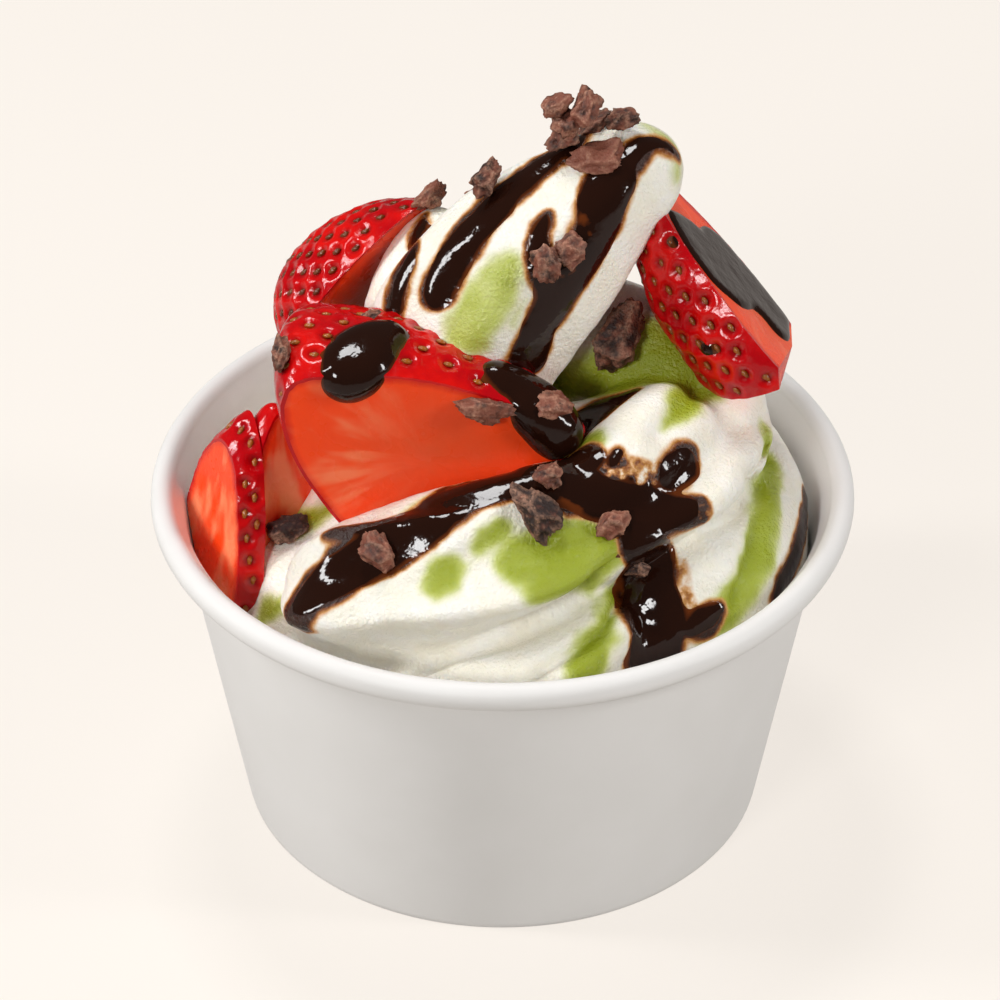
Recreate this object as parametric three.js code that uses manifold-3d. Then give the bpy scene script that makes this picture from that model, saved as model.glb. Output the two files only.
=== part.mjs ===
// A soft serve sundae in a white paper cup: a fluted rope of soft serve piped in a rising swirl, pieces of
// cut strawberry pressed into it, chocolate sauce poured over and cacao nibs scattered on top.
// Millimetres, +Z up, with the origin under the middle of the cup. The serving side faces -Y.
import * as THREE from 'three';
import { mergeVertices } from 'three/addons/utils/BufferGeometryUtils.js';
import Module from 'manifold-3d';

const wasm = await Module();
wasm.setup();

// Driving dimensions

const GAP = 0.35; // clearance left between pieces that touch
const CUP = {
  rimRadius: 48,
  height: 50.2,
  baseRadius: 36.3,
  wall: 0.8,
  curlHalfWidth: 1.7,
  curlHalfHeight: 1.9,
  floorRise: 6,
  skirt: 1.2,
  segments: 48,
  curlSteps: 8,
};

// Centre lines of the piped rope, by turn: angle seen from above (degrees, 0 at the right, -90 in front),
// distance from the cup's axis, height, and the rope's own radius. ridgeTurn turns the ridges between the
// flutes about the rope's own line. A ring lies against the wall, and the swirl climbs on it.
const BASE_RING = {
  ridgeTurn: 36,
  fluteDepth: 0.06,
  keys: [
    { angle: -62, out: 32, height: 38, radius: 8.5 },
    { angle: -30, out: 33, height: 44, radius: 10 },
    { angle: 10, out: 32, height: 44.5, radius: 10 },
    { angle: 90, out: 29, height: 41, radius: 10 },
    { angle: 180, out: 29, height: 39, radius: 10 },
    { angle: 235, out: 29, height: 37, radius: 9.5 },
  ],
};
const CLIMBING_SWIRL = {
  ridgeTurn: -3,
  fluteDepth: 0.26,
  keys: [
    { angle: 218, out: 36, height: 46.5, radius: 10 },
    { angle: 240, out: 28.5, height: 49.5, radius: 11.5 },
    { angle: 270, out: 25, height: 52.5, radius: 12 },
    { angle: 300, out: 23, height: 55, radius: 11.5 },
    { angle: 330, out: 25, height: 56.5, radius: 10 },
    { angle: 352, out: 27, height: 56, radius: 9.5 },
    { angle: 390, out: 24, height: 56.5, radius: 10.5 },
    { angle: 450, out: 19, height: 57, radius: 11 },
    { angle: 540, out: 14, height: 60, radius: 11 },
    { angle: 600, out: 6, height: 66, radius: 11 },
  ],
};
const SWIRL = { flutes: 5, stepAngle: 13, arcAngle: 170, arcOverlap: 20 };
const FILL = { level: 37, domeRadius: 24, domeTop: 66, segments: 24 }; // soft serve under the swirl

// Single strokes of the nozzle on the swirl.
const STROKES = {
  peak: {
    path: [
      [-7, 2, 62],
      [-4.4, 3, 72],
      [0.3, 5, 77.8],
      [6.3, 7, 83.6],
      [11.6, 9, 87.9],
      [16.3, 11, 91],
      [23, 12.5, 95.4],
    ],
    radii: [13, 13.7, 13.6, 12.8, 10.6, 7.8, 6.6],
    flutes: 5,
    fluteDepth: 0.1,
    ridgeTurn: 16,
    sides: 20,
    steps: 16,
  },
  peakFold: {
    path: [[-9, -2, 64], [-14, 6, 72], [-11, 12, 79], [-6, 14, 83]],
    radii: [6, 5.2, 4, 3],
  },
  shoulder: {
    path: [[31, -4, 55], [26, 3, 60.5], [18, 8, 64.5], [6, 12, 67]],
    radii: [8, 9, 9, 9],
  },
  middleLip: {
    path: [[-16, -35, 37], [-3, -35, 39.3], [8, -32.5, 43], [16, -28, 50]],
    radii: [6, 7.2, 7, 4.2],
  },
  lowerLip: {
    path: [[0, -35, 33], [8, -33.5, 36.5], [14.5, -30.5, 41], [18, -27.5, 46]],
    radii: [5, 6, 5.5, 4],
  },
  rightLobe: {
    path: [[15, -26, 45], [24, -20.5, 46.5], [30, -11, 48], [32, 2, 48]],
    radii: [6, 8.2, 8.2, 7],
  },
  crown: {
    path: [[8, -20, 57], [14, -16.5, 60], [20, -10, 62], [26, -2, 62.5]],
    radii: [6, 7, 7, 6.5],
  },
  saddle: {
    path: [[4, -5, 58], [12, -6, 59.5], [20, -3, 61], [27, 2, 61]],
    radii: [6, 6, 6.5, 6],
  },
  tongue: {
    path: [[-27, -18, 46], [-18.2, -21, 53.4], [-8.6, -22.5, 58.4], [3.8, -21, 61], [11, -18, 60]],
    radii: [4, 4.5, 4.5, 4.2, 5],
  },
};
const ROPE_END = 0.5; // how much closer the rings of a rope stand at its round ends

// Strawberry pieces: the berry's hulled end and tip, its width, and the flat faces the knife left. A face is
// given by the way it looks and its distance from the middle of the berry's axis. slant draws the upper side
// of the hulled end out.
const BERRIES = {
  strawberry_front: {
    hull: [-25.8, -9, 63.5],
    tip: [11, -12, 66],
    width: 34,
    shoulder: 0.16,
    tipFullness: 0.74,
    slant: 0.38,
    faces: [{ looks: [0.08, -1, 0.02], from: 6.2 }],
  },
  strawberry_back: {
    hull: [-25, 17, 59],
    tip: [-7.5, 13, 84.5],
    width: 24,
    faces: [{ looks: [0.62, -0.6, -0.4], from: -1.2 }],
  },
  strawberry_right: {
    hull: [39.3, -1.9, 65.8],
    tip: [17, 15.5, 90.5],
    width: 20,
    hullNarrowing: 0.5,
    faces: [{ looks: [0.74, 0.06, 0.67], from: 1.8 }, { looks: [0.4, -0.137, -0.908], from: 12.9 }],
  },
  strawberry_left_slice: {
    hull: [-38.5, -10, 28],
    tip: [-32.5, -2, 63],
    width: 21,
    faces: [{ looks: [-0.86, -0.42, 0.22], from: 4.5 }, { looks: [0.86, 0.42, -0.22], from: -1 }],
  },
  strawberry_left_half: {
    hull: [-31, -12, 30],
    tip: [-31, -2, 63.5],
    width: 17,
    faces: [{ looks: [0.75, -0.6, 0.2], from: 2 }, { looks: [-0.86, -0.42, 0.22], from: 4 }],
  },
};
const BERRY = { shoulder: 0.3, tipFullness: 0.62, hullNarrowing: 0.75, slant: 0, sides: 20, rings: 11 };

// Sauce and nibs lie where they show from the serving side: across and up, in millimetres on a plane through
// SIGHT.middle, and along that line of sight on the piece that carries them.
const SIGHT = { middle: [-0.34, 0, 45.9], distance: 600, elevation: 35.95 };

// Chocolate sauce on each piece: the way it runs, its half width from start to end, and how high it stands.
const SAUCE = {
  soft_serve: [
    {
      way: [[13.2, 49.8], [8.2, 46.8], [2.7, 42.8], [-2.7, 37.8], [-7.5, 31.8], [-8.6, 27.4]],
      half: [1.6, 3.2],
      high: 1,
    },
    {
      way: [[22.5, 47.5], [19, 47], [15.1, 42], [12.3, 36.5], [10, 31], [7.5, 26], [4.3, 21.5]],
      half: [2.4, 3.6],
      high: 1,
    },
    { way: [[12.5, 11.4], [15.8, 13.4], [18.6, 14.4]], half: [1.6, 1.6], high: 1 },
    { way: [[8.2, 4], [-2.7, 2], [-9.6, -3], [-17.8, -8.4], [-26.5, -14.5]], half: [3, 3.4], high: 1 },
    { way: [[9.5, 1], [17, -1], [25.5, -1.8]], half: [3.4, 3], high: 1 },
    { way: [[21.2, -6.5], [22.6, -13.7], [22.3, -19.5]], half: [3.2, 3.2], high: 1 },
  ],
  strawberry_front: [
    { way: [[-17.5, 23.5], [-19.2, 20.5], [-20.3, 15.8]], half: [3, 3.6], high: 1.8 },
    { way: [[-1, 16], [4.8, 13.5], [9.2, 9.3]], half: [2.6, 3.6], high: 1 },
  ],
  strawberry_right: [{ way: [[29.5, 34.5], [34, 30], [37.5, 25.5]], half: [2, 2.2], high: 0.8 }],
};
const BAND = { sides: 8, stepsPerPoint: 3, sunk: 1.2, edgeSunk: 0.15, reach: 8 };

// Cacao nibs on each piece: place, half length, and how far the middle stands off the surface and above it.
const NIBS = {
  soft_serve: [
    { at: [8.4, 47.6], size: 3.4, off: 0.5, rise: 1.4 },
    { at: [11.2, 48.6], size: 3.2, off: 0.5, rise: 1.4 },
    { at: [9.8, 47.8], size: 3.4, off: 0.5, rise: 5 },
    { at: [16.4, 50.5], size: 2.2, off: 0.5, rise: 0.5 },
    { at: [13.7, 46.6], size: 3.6, off: 0.8 },
    { at: [-2.2, 42.6], size: 2.8, off: 1.4 },
    { at: [6.3, 32.9], size: 2.8, off: 1 },
    { at: [9.7, 34], size: 2.4, off: 1 },
    { at: [16, 22], size: 4, off: 1 },
    { at: [6.7, 3.4], size: 2, off: 1.6 },
    { at: [4.8, -1.4], size: 3.4, off: 1.2 },
    { at: [15.6, -3], size: 2.2, off: 1.2 },
    { at: [-16.6, -7.3], size: 2.8, off: 1.6 },
  ],
  strawberry_front: [
    { at: [-2.7, 12.6], size: 3.4, off: 0.6 },
    { at: [6.4, 11.8], size: 2.7, off: 1.4 },
    { at: [-29.6, 18.5], size: 2.2, off: 1 },
  ],
};
const NIB = { seed: 7, flatness: 0.6, roughness: 0.35 };

// Solids and cuts

const UP = new THREE.Vector3(0, 0, 1);

/** A closed geometry as a solid that can be joined and cut. */
function solidFrom(geometry) {
  const bare = new THREE.BufferGeometry();
  bare.setAttribute('position', geometry.attributes.position);
  bare.setIndex(geometry.index);
  const merged = mergeVertices(bare, 1e-4);
  return new wasm.Manifold(
    new wasm.Mesh({
      numProp: 3,
      vertProperties: merged.attributes.position.array,
      triVerts: new Uint32Array(merged.index.array),
    }),
  );
}

/** A solid's faces as a geometry with flat shading. */
function geometryFrom(solid) {
  const mesh = solid.getMesh();
  const geometry = new THREE.BufferGeometry();
  geometry.setAttribute('position', new THREE.BufferAttribute(Float32Array.from(mesh.vertProperties), 3));
  geometry.setIndex(new THREE.BufferAttribute(Uint32Array.from(mesh.triVerts), 1));
  geometry.computeVertexNormals();
  return geometry;
}

function joined(solids) {
  return solids.reduce((whole, solid) => whole.add(solid));
}

/** The largest of a solid's separate bodies, so that a cut leaves no loose scraps. */
function largestBody(solid) {
  return solid.decompose().reduce((best, body) => (body.volume() > best.volume() ? body : best));
}

/** A sphere drawn out along a line: a vertex is placed by its share of the way along and its angle round. */
function drawnSphere(sides, steps, place) {
  const geometry = new THREE.SphereGeometry(1, sides, steps);
  const position = geometry.attributes.position;
  for (let i = 0; i < position.count; i++) {
    const along = Math.floor(i / (sides + 1)) / steps;
    const round = ((i % (sides + 1)) % sides) * ((2 * Math.PI) / sides);
    const point = place(along, round);
    position.setXYZ(i, point.x, point.y, point.z);
  }
  return geometry;
}

/** The value at a share of the way along an evenly spaced list. */
function listAt(list, share) {
  const place = share * (list.length - 1);
  const low = Math.min(Math.floor(place), list.length - 2);
  return THREE.MathUtils.lerp(list[low], list[low + 1], place - low);
}

/** 1 along the middle of a rope, falling to 0 on a quarter circle at each end. */
function roundEnds(along, endShare) {
  const fromEnd = Math.min(along, 1 - along, endShare) / endShare;
  return Math.sqrt(Math.max(0, 1 - (1 - fromEnd) ** 2));
}

/** A rope of soft serve along a smooth curve, pressed into flutes by the star nozzle. */
function ropeSolid({ path, radii, flutes = 0, fluteDepth = 0, ridgeTurn = 0, sides = 14, steps = 12 }) {
  const curve = new THREE.CatmullRomCurve3(path.map((p) => new THREE.Vector3(...p)), false, 'centripetal');
  const endShare = Math.min(0.45, Math.min(...radii) / curve.getLength());
  const ridgeStart = THREE.MathUtils.degToRad(ridgeTurn);
  return solidFrom(
    drawnSphere(sides, steps, (step, fromRidge) => {
      const round = fromRidge + ridgeStart;
      const along = THREE.MathUtils.lerp(step, (1 - Math.cos(step * Math.PI)) / 2, ROPE_END);
      const ahead = curve.getTangentAt(along);
      const outward = new THREE.Vector3().crossVectors(ahead, UP).normalize();
      const upward = new THREE.Vector3().crossVectors(outward, ahead);
      const flute = 1 - fluteDepth * Math.abs(Math.sin((flutes * fromRidge) / 2));
      const reach = listAt(radii, along) * roundEnds(along, endShare) * flute;
      return curve
        .getPointAt(along)
        .addScaledVector(upward, reach * Math.cos(round))
        .addScaledVector(outward, -reach * Math.sin(round));
    }),
  );
}

/** A closed profile of (radius, height) pairs turned about the cup's axis. */
function turnedSolid(profile, segments) {
  const points = profile.map(([radius, height]) => new THREE.Vector2(radius, height));
  return solidFrom(new THREE.LatheGeometry(points, segments).rotateX(Math.PI / 2));
}

// Paper cup

const wallTopRadius = CUP.rimRadius - 2 * CUP.curlHalfWidth;
const wallSlope = (wallTopRadius - CUP.baseRadius) / (CUP.height - CUP.curlHalfHeight);

/** The wall's outer radius at a height. */
function wallRadius(height) {
  return CUP.baseRadius + wallSlope * height;
}

/** The rolled rim's outline, from under the curl, round its outside and top to the inner face of the wall. */
function curlProfile() {
  const centreRadius = CUP.rimRadius - CUP.curlHalfWidth;
  const centreHeight = CUP.height - CUP.curlHalfHeight;
  const [from, to] = [-0.75 * Math.PI, 0.95 * Math.PI];
  return Array.from({ length: CUP.curlSteps + 1 }, (_, i) => {
    const turn = THREE.MathUtils.lerp(from, to, i / CUP.curlSteps);
    return [
      centreRadius + CUP.curlHalfWidth * Math.cos(turn),
      centreHeight + CUP.curlHalfHeight * Math.sin(turn),
    ];
  });
}

function cupSolid() {
  const floorTop = CUP.floorRise + CUP.wall;
  const innerTop = CUP.height - CUP.curlHalfHeight;
  return turnedSolid(
    [
      [0, CUP.floorRise],
      [wallRadius(CUP.floorRise) - CUP.skirt, CUP.floorRise],
      [CUP.baseRadius - CUP.skirt, 0],
      [CUP.baseRadius, 0],
      ...curlProfile(),
      [wallRadius(innerTop) - CUP.wall, innerTop - CUP.wall],
      [wallRadius(floorTop) - CUP.wall, floorTop],
      [0, floorTop],
    ],
    CUP.segments,
  );
}

/** The room inside the cup, a gap clear of its wall and floor, and open to the sky above the rim. */
function roomInCup() {
  const floorTop = CUP.floorRise + CUP.wall + GAP;
  const inset = CUP.wall + GAP;
  const sky = 140;
  return turnedSolid(
    [
      [0, floorTop],
      [wallRadius(floorTop) - inset, floorTop],
      [wallRadius(CUP.height) - inset, CUP.height],
      [wallRadius(CUP.height) - inset, sky],
      [0, sky],
    ],
    CUP.segments,
  );
}

// Soft serve

/** A turn's centre and rope radius at an angle, between its keys. */
function turnAt(keys, angle) {
  const next = Math.max(1, keys.findIndex((key) => key.angle >= angle));
  const [from, to] = [keys[next - 1], keys[next]];
  const share = THREE.MathUtils.mapLinear(angle, from.angle, to.angle, 0, 1);
  const between = (name) => THREE.MathUtils.lerp(from[name], to[name], share);
  const turn = THREE.MathUtils.degToRad(angle);
  const out = between('out');
  return {
    point: [out * Math.cos(turn), out * Math.sin(turn), between('height')],
    radius: between('radius'),
  };
}

/** A piped turn, as overlapping arcs of one rope. */
function turnArcs({ keys, ridgeTurn, fluteDepth }) {
  const first = keys[0].angle;
  const last = keys[keys.length - 1].angle;
  const arcs = [];
  for (let start = first; start < last - SWIRL.arcOverlap; start += SWIRL.arcAngle) {
    const end = Math.min(start + SWIRL.arcAngle + SWIRL.arcOverlap, last);
    const steps = Math.ceil((end - start) / SWIRL.stepAngle);
    const stepAngle = (end - start) / steps;
    const places = Array.from({ length: steps + 1 }, (_, i) => turnAt(keys, start + stepAngle * i));
    arcs.push(
      ropeSolid({
        path: places.map((place) => place.point),
        radii: places.map((place) => place.radius),
        flutes: SWIRL.flutes,
        fluteDepth,
        ridgeTurn,
        sides: SWIRL.flutes * 4,
        steps,
      }),
    );
  }
  return arcs;
}

/** Soft serve under the swirl: level with the wall at its edge and domed in the middle. */
function fillSolid() {
  const floorTop = CUP.floorRise + CUP.wall;
  return turnedSolid(
    [
      [0, floorTop],
      [wallRadius(floorTop), floorTop],
      [wallRadius(FILL.level), FILL.level],
      [FILL.domeRadius, (FILL.level + FILL.domeTop) / 2],
      [0, FILL.domeTop],
    ],
    FILL.segments,
  );
}

function softServeSolid() {
  const turns = [BASE_RING, CLIMBING_SWIRL].flatMap(turnArcs);
  const strokes = Object.values(STROKES).map(ropeSolid);
  return joined([fillSolid(), ...turns, ...strokes]).intersect(roomInCup());
}

// Strawberries

/** A berry's radius as a share of its half width, from its hulled end (0) to its tip (1). */
function berryShape(along, { shoulder, tipFullness, hullNarrowing }) {
  if (along < shoulder) return Math.sqrt(1 - (1 - along / shoulder) ** 2 * hullNarrowing);
  const past = (along - shoulder) / (1 - shoulder);
  return Math.cos((past * Math.PI) / 2) ** tipFullness;
}

/** Draws the upper side of a berry's hulled end out along its axis, and the lower side in. */
function slanted(geometry, axis, slant) {
  const ahead = axis.clone().normalize();
  const position = geometry.attributes.position;
  const vertex = new THREE.Vector3();
  for (let i = 0; i < position.count; i++) {
    vertex.fromBufferAttribute(position, i);
    const reached = vertex.dot(ahead);
    const height = vertex.z - ahead.z * reached;
    vertex.addScaledVector(ahead, -slant * height * (1 - reached / axis.length()));
    position.setXYZ(i, vertex.x, vertex.y, vertex.z);
  }
  return geometry;
}

/** A cut piece of strawberry, larger all round by a clearance. */
function berrySolid(berry, clearance = 0) {
  const form = { ...BERRY, ...berry };
  const from = new THREE.Vector3(...form.hull);
  const axis = new THREE.Vector3(...form.tip).sub(from);
  const length = axis.length();
  const lathed = new THREE.Vector3(0, 1, 0);
  const turn = new THREE.Quaternion().setFromUnitVectors(lathed, axis.clone().normalize());
  const profile = [new THREE.Vector2(0, -clearance)];
  for (let i = 0; i < form.rings; i++) {
    const along = i / form.rings;
    const radius = (form.width / 2) * berryShape(along, form);
    profile.push(new THREE.Vector2(radius + clearance, along * length - clearance * (1 - along)));
  }
  profile.push(new THREE.Vector2(0, length + clearance));
  const turned = new THREE.LatheGeometry(profile, form.sides).applyQuaternion(turn);
  const whole = solidFrom(slanted(turned, axis, form.slant).translate(...form.hull));
  return form.faces.reduce((piece, face) => {
    const looks = new THREE.Vector3(...face.looks).normalize();
    const reach = looks.dot(from.clone().addScaledVector(axis, 0.5)) + face.from + clearance;
    return piece.trimByPlane([-looks.x, -looks.y, -looks.z], -reach);
  }, whole);
}

// Sauce and nibs

const elevation = THREE.MathUtils.degToRad(SIGHT.elevation);
const sightBack = new THREE.Vector3(0, -Math.cos(elevation), Math.sin(elevation));
const sightUp = new THREE.Vector3(0, Math.sin(elevation), Math.cos(elevation));
const sightMiddle = new THREE.Vector3(...SIGHT.middle);
const eye = sightMiddle.clone().addScaledVector(sightBack, SIGHT.distance);

/** Where a ray first meets a piece, and the way the surface looks there. */
function meeting(mesh, from, direction) {
  const [hit] = new THREE.Raycaster(from, direction).intersectObject(mesh);
  return hit && { point: hit.point, looks: hit.face.normal.clone() };
}

/** Where a place seen from the serving side lies on a piece. */
function seenOn(mesh, [across, up]) {
  const aim = sightMiddle.clone().addScaledVector(sightUp, up);
  aim.x += across;
  return meeting(mesh, eye, aim.sub(eye).normalize());
}

/** A band of sauce that follows the surface of the piece it runs over. */
function sauceSolid(mesh, { way, half, high }) {
  const places = way.map((at) => seenOn(mesh, at));
  const middle = new THREE.CatmullRomCurve3(places.map((place) => place.point), false, 'centripetal');
  const looks = new THREE.CatmullRomCurve3(places.map((place) => place.looks), false, 'centripetal');
  const endShare = Math.min(0.45, Math.max(...half) / middle.getLength());
  return solidFrom(
    drawnSphere(BAND.sides, BAND.stepsPerPoint * way.length, (along, round) => {
      const outward = looks.getPoint(along).normalize();
      const aside = new THREE.Vector3().crossVectors(middle.getTangentAt(along), outward).normalize();
      const ending = roundEnds(along, endShare);
      const width = listAt(half, along) * ending;
      const start = middle.getPointAt(along).addScaledVector(aside, width * Math.cos(round));
      const above = start.clone().addScaledVector(outward, BAND.reach);
      const found = meeting(mesh, above, outward.clone().negate());
      const onSurface = found && found.point.distanceTo(start) < BAND.reach ? found.point : start;
      const rise = Math.sin(round) > 0 ? high : BAND.sunk;
      return onSurface.addScaledVector(outward, rise * Math.sin(round) * ending - BAND.edgeSunk);
    }),
  );
}

/** A number from 0 to 1 that is the same each time for a seed and a place in its row. */
function draw(seed, place) {
  return THREE.MathUtils.euclideanModulo(Math.sin(seed * 127.1 + place * 311.7) * 43758.5453, 1);
}

/** A broken cacao nib: a lump with uneven flat sides, turned at random. */
function nibSolid(mesh, { at, size, off, rise = 0 }, seed) {
  const { point, looks } = seenOn(mesh, at);
  const geometry = new THREE.IcosahedronGeometry(size, 0);
  geometry.deleteAttribute('normal');
  geometry.deleteAttribute('uv');
  const lump = mergeVertices(geometry);
  const position = lump.attributes.position;
  const corner = new THREE.Vector3();
  for (let i = 0; i < position.count; i++) {
    corner.fromBufferAttribute(position, i).multiplyScalar(1 + NIB.roughness * (2 * draw(seed, i) - 1));
    position.setXYZ(i, corner.x, corner.y, corner.z * NIB.flatness);
  }
  const turn = new THREE.Quaternion().setFromUnitVectors(UP, looks);
  const spin = new THREE.Quaternion().setFromAxisAngle(UP, 2 * Math.PI * draw(seed, position.count));
  const middle = point.clone().addScaledVector(looks, off).addScaledVector(UP, rise);
  return solidFrom(lump.applyQuaternion(spin).applyQuaternion(turn).translate(...middle));
}

/** A piece with the sauce and the nibs that lie on it. */
function topped(name, solid) {
  const mesh = new THREE.Mesh(geometryFrom(solid));
  const bands = (SAUCE[name] ?? []).map((band) => sauceSolid(mesh, band));
  const nibs = (NIBS[name] ?? []).map((nib, i) => nibSolid(mesh, nib, NIB.seed + i));
  return joined([solid, ...bands, ...nibs]);
}

// The sundae

const MATERIALS = {
  paper: new THREE.MeshStandardMaterial({ color: 0xf2f1ee, roughness: 0.6 }),
  softServe: new THREE.MeshStandardMaterial({ color: 0xf1eedd, roughness: 0.5 }),
  strawberry: new THREE.MeshStandardMaterial({ color: 0xd42a1c, roughness: 0.35 }),
};

const sundae = new THREE.Group();

function addPiece(name, solid, material) {
  const mesh = new THREE.Mesh(geometryFrom(largestBody(solid)), material);
  mesh.name = name;
  sundae.add(mesh);
}

addPiece('paper_cup', cupSolid(), MATERIALS.paper);
let serve = softServeSolid();
for (const berry of Object.values(BERRIES)) serve = serve.subtract(berrySolid(berry, GAP));
serve = topped('soft_serve', largestBody(serve));
const placed = [];
for (const [name, berry] of Object.entries(BERRIES)) {
  const room = placed.reduce((left, other) => left.subtract(other), roomInCup());
  addPiece(name, topped(name, berrySolid(berry).intersect(room)), MATERIALS.strawberry);
  placed.push(berrySolid(berry, GAP));
}
for (const berry of placed) serve = serve.subtract(berry);
addPiece('soft_serve', serve, MATERIALS.softServe);

export default sundae;
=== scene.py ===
"""The looks of a soft serve sundae: paper cup, fluted swirl, cut strawberries, chocolate sauce and nibs.

Sizes are millimetres in the sundae's own frame, +Z up with the origin under the middle of the cup and the
serving side towards -Y. Meshes are worked in millimetres and scaled to metres as each piece is finished.
"""

import logging
import math
from dataclasses import dataclass, field
from enum import Enum
from typing import Iterable, Optional, Sequence

import bmesh
import bpy
import numpy as np
from mathutils import Matrix, Quaternion, Vector, noise
from mathutils.bvhtree import BVHTree
from mathutils.kdtree import KDTree


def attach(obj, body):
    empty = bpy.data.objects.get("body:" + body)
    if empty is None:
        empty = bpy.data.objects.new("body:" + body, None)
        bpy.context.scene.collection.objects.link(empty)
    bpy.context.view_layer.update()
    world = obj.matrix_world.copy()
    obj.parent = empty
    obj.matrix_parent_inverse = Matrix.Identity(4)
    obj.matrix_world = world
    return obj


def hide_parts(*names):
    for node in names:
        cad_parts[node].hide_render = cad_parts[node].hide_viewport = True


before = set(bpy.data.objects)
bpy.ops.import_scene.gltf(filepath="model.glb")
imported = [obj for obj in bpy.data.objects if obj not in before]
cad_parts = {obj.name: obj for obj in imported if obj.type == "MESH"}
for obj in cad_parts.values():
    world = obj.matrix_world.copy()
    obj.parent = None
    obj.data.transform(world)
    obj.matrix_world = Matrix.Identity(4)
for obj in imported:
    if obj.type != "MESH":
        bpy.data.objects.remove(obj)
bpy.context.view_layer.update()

log = logging.getLogger("sundae")

MM = 0.001
PICTURE = 1000  # side of the square picture, in pixels
BODY = "root"
UP = Vector((0.0, 0.0, 1.0))
SENSOR = 36.0  # width of the camera's sensor
CURVE_STEPS = 12  # fine steps between two points of a curve
TINY = 1e-3  # points nearer than this are one

Pair = tuple[float, float]
Triple = tuple[float, float, float]
Pixel = tuple[float, float]
Colour = tuple[float, float, float, float]


class Slot(Enum):
    """Material slots of the record."""

    PAPER = "paper"
    SOFT_SERVE = "soft_serve"
    STRAWBERRY = "strawberry"
    SAUCE = "chocolate_sauce"
    NIBS = "cacao_nibs"


# Helpers for numbers


def blend(low: float, high: float, share: float) -> float:
    """A value between two others."""
    return low + (high - low) * share


def smooth_step(low: float, high: float, value: np.ndarray) -> np.ndarray:
    """0 below low, 1 above high and an even S between, for low above or below high."""
    share = np.clip((value - low) / (high - low), 0.0, 1.0)
    return share * share * (3.0 - 2.0 * share)


def list_at(values: Sequence[float], share: float) -> float:
    """The value at a share of the way along an evenly spaced list of one value or more."""
    place = share * (len(values) - 1)
    low = max(0, min(int(place), len(values) - 2))
    return blend(values[low], values[min(low + 1, len(values) - 1)], place - low)


def smooth_path(points: Sequence[Sequence[float]], count: int) -> list[Vector]:
    """A centripetal Catmull-Rom curve through points, at evenly spaced places.

    Args:
        points: The points that the curve passes through.
        count: How many places to return.

    Returns:
        Places along the curve, the first and last points included.
    """
    knots = [Vector(p) for p in points]
    knots = [2 * knots[0] - knots[1], *knots, 2 * knots[-1] - knots[-2]]
    fine: list[Vector] = []
    for a, b, c, d in zip(knots, knots[1:], knots[2:], knots[3:]):
        t1 = math.sqrt((b - a).length)
        t2 = t1 + math.sqrt((c - b).length)
        t3 = t2 + math.sqrt((d - c).length)
        for i in range(CURVE_STEPS):
            t = blend(t1, t2, i / CURVE_STEPS)
            ab = a.lerp(b, t / t1)
            bc = b.lerp(c, (t - t1) / (t2 - t1))
            cd = c.lerp(d, (t - t2) / (t3 - t2))
            abc = ab.lerp(bc, t / t2)
            bcd = bc.lerp(cd, (t - t1) / (t3 - t1))
            fine.append(abc.lerp(bcd, (t - t1) / (t2 - t1)))
    fine.append(knots[-2])
    lengths = np.concatenate([[0.0], np.cumsum([(q - p).length for p, q in zip(fine, fine[1:])])])
    wanted = np.linspace(0.0, lengths[-1], count)
    columns = [np.interp(wanted, lengths, [p[axis] for p in fine]) for axis in range(len(knots[0]))]
    return [Vector(row) for row in zip(*columns)]


# Views of the sundae


@dataclass(frozen=True)
class Sight:
    """A place to look from, and the lines of sight through its picture."""

    azimuth: float = 0.0
    elevation: float = 35.95
    distance: float = 600.0
    pixels_per_mm: float = 7.297
    middle: Triple = (-0.34, 0.0, 45.9)

    @property
    def back(self) -> Vector:
        """The way from the middle to the eye."""
        turn, rise = math.radians(self.azimuth), math.radians(self.elevation)
        return Vector((math.sin(turn) * math.cos(rise), -math.cos(turn) * math.cos(rise), math.sin(rise)))

    @property
    def right(self) -> Vector:
        """The picture's right."""
        turn = math.radians(self.azimuth)
        return Vector((math.cos(turn), math.sin(turn), 0.0))

    @property
    def eye(self) -> Vector:
        """Where the eye is, in millimetres."""
        return Vector(self.middle) + self.back * self.distance

    def ray(self, pixel: Pixel) -> Vector:
        """The way from the eye through a pixel."""
        across = (pixel[0] - PICTURE / 2) / self.pixels_per_mm
        rise = (PICTURE / 2 - pixel[1]) / self.pixels_per_mm
        aim = Vector(self.middle) + self.right * across + self.back.cross(self.right) * rise
        return (aim - self.eye).normalized()

    def place_camera(self) -> bpy.types.Object:
        """Set the scene's camera at this place.

        Returns:
            The camera object.
        """
        data = bpy.data.cameras.new("serving_side")
        data.sensor_width = SENSOR
        data.lens = self.pixels_per_mm * self.distance / PICTURE * data.sensor_width
        camera = bpy.data.objects.new("serving_side", data)
        camera.location = self.eye * MM
        camera.rotation_mode = "QUATERNION"
        camera.rotation_quaternion = (-self.back).to_track_quat("-Z", "Y")
        bpy.context.scene.collection.objects.link(camera)
        bpy.context.scene.camera = camera
        return camera


FRONT = Sight()
BEHIND = Sight(azimuth=180.0)


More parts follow.
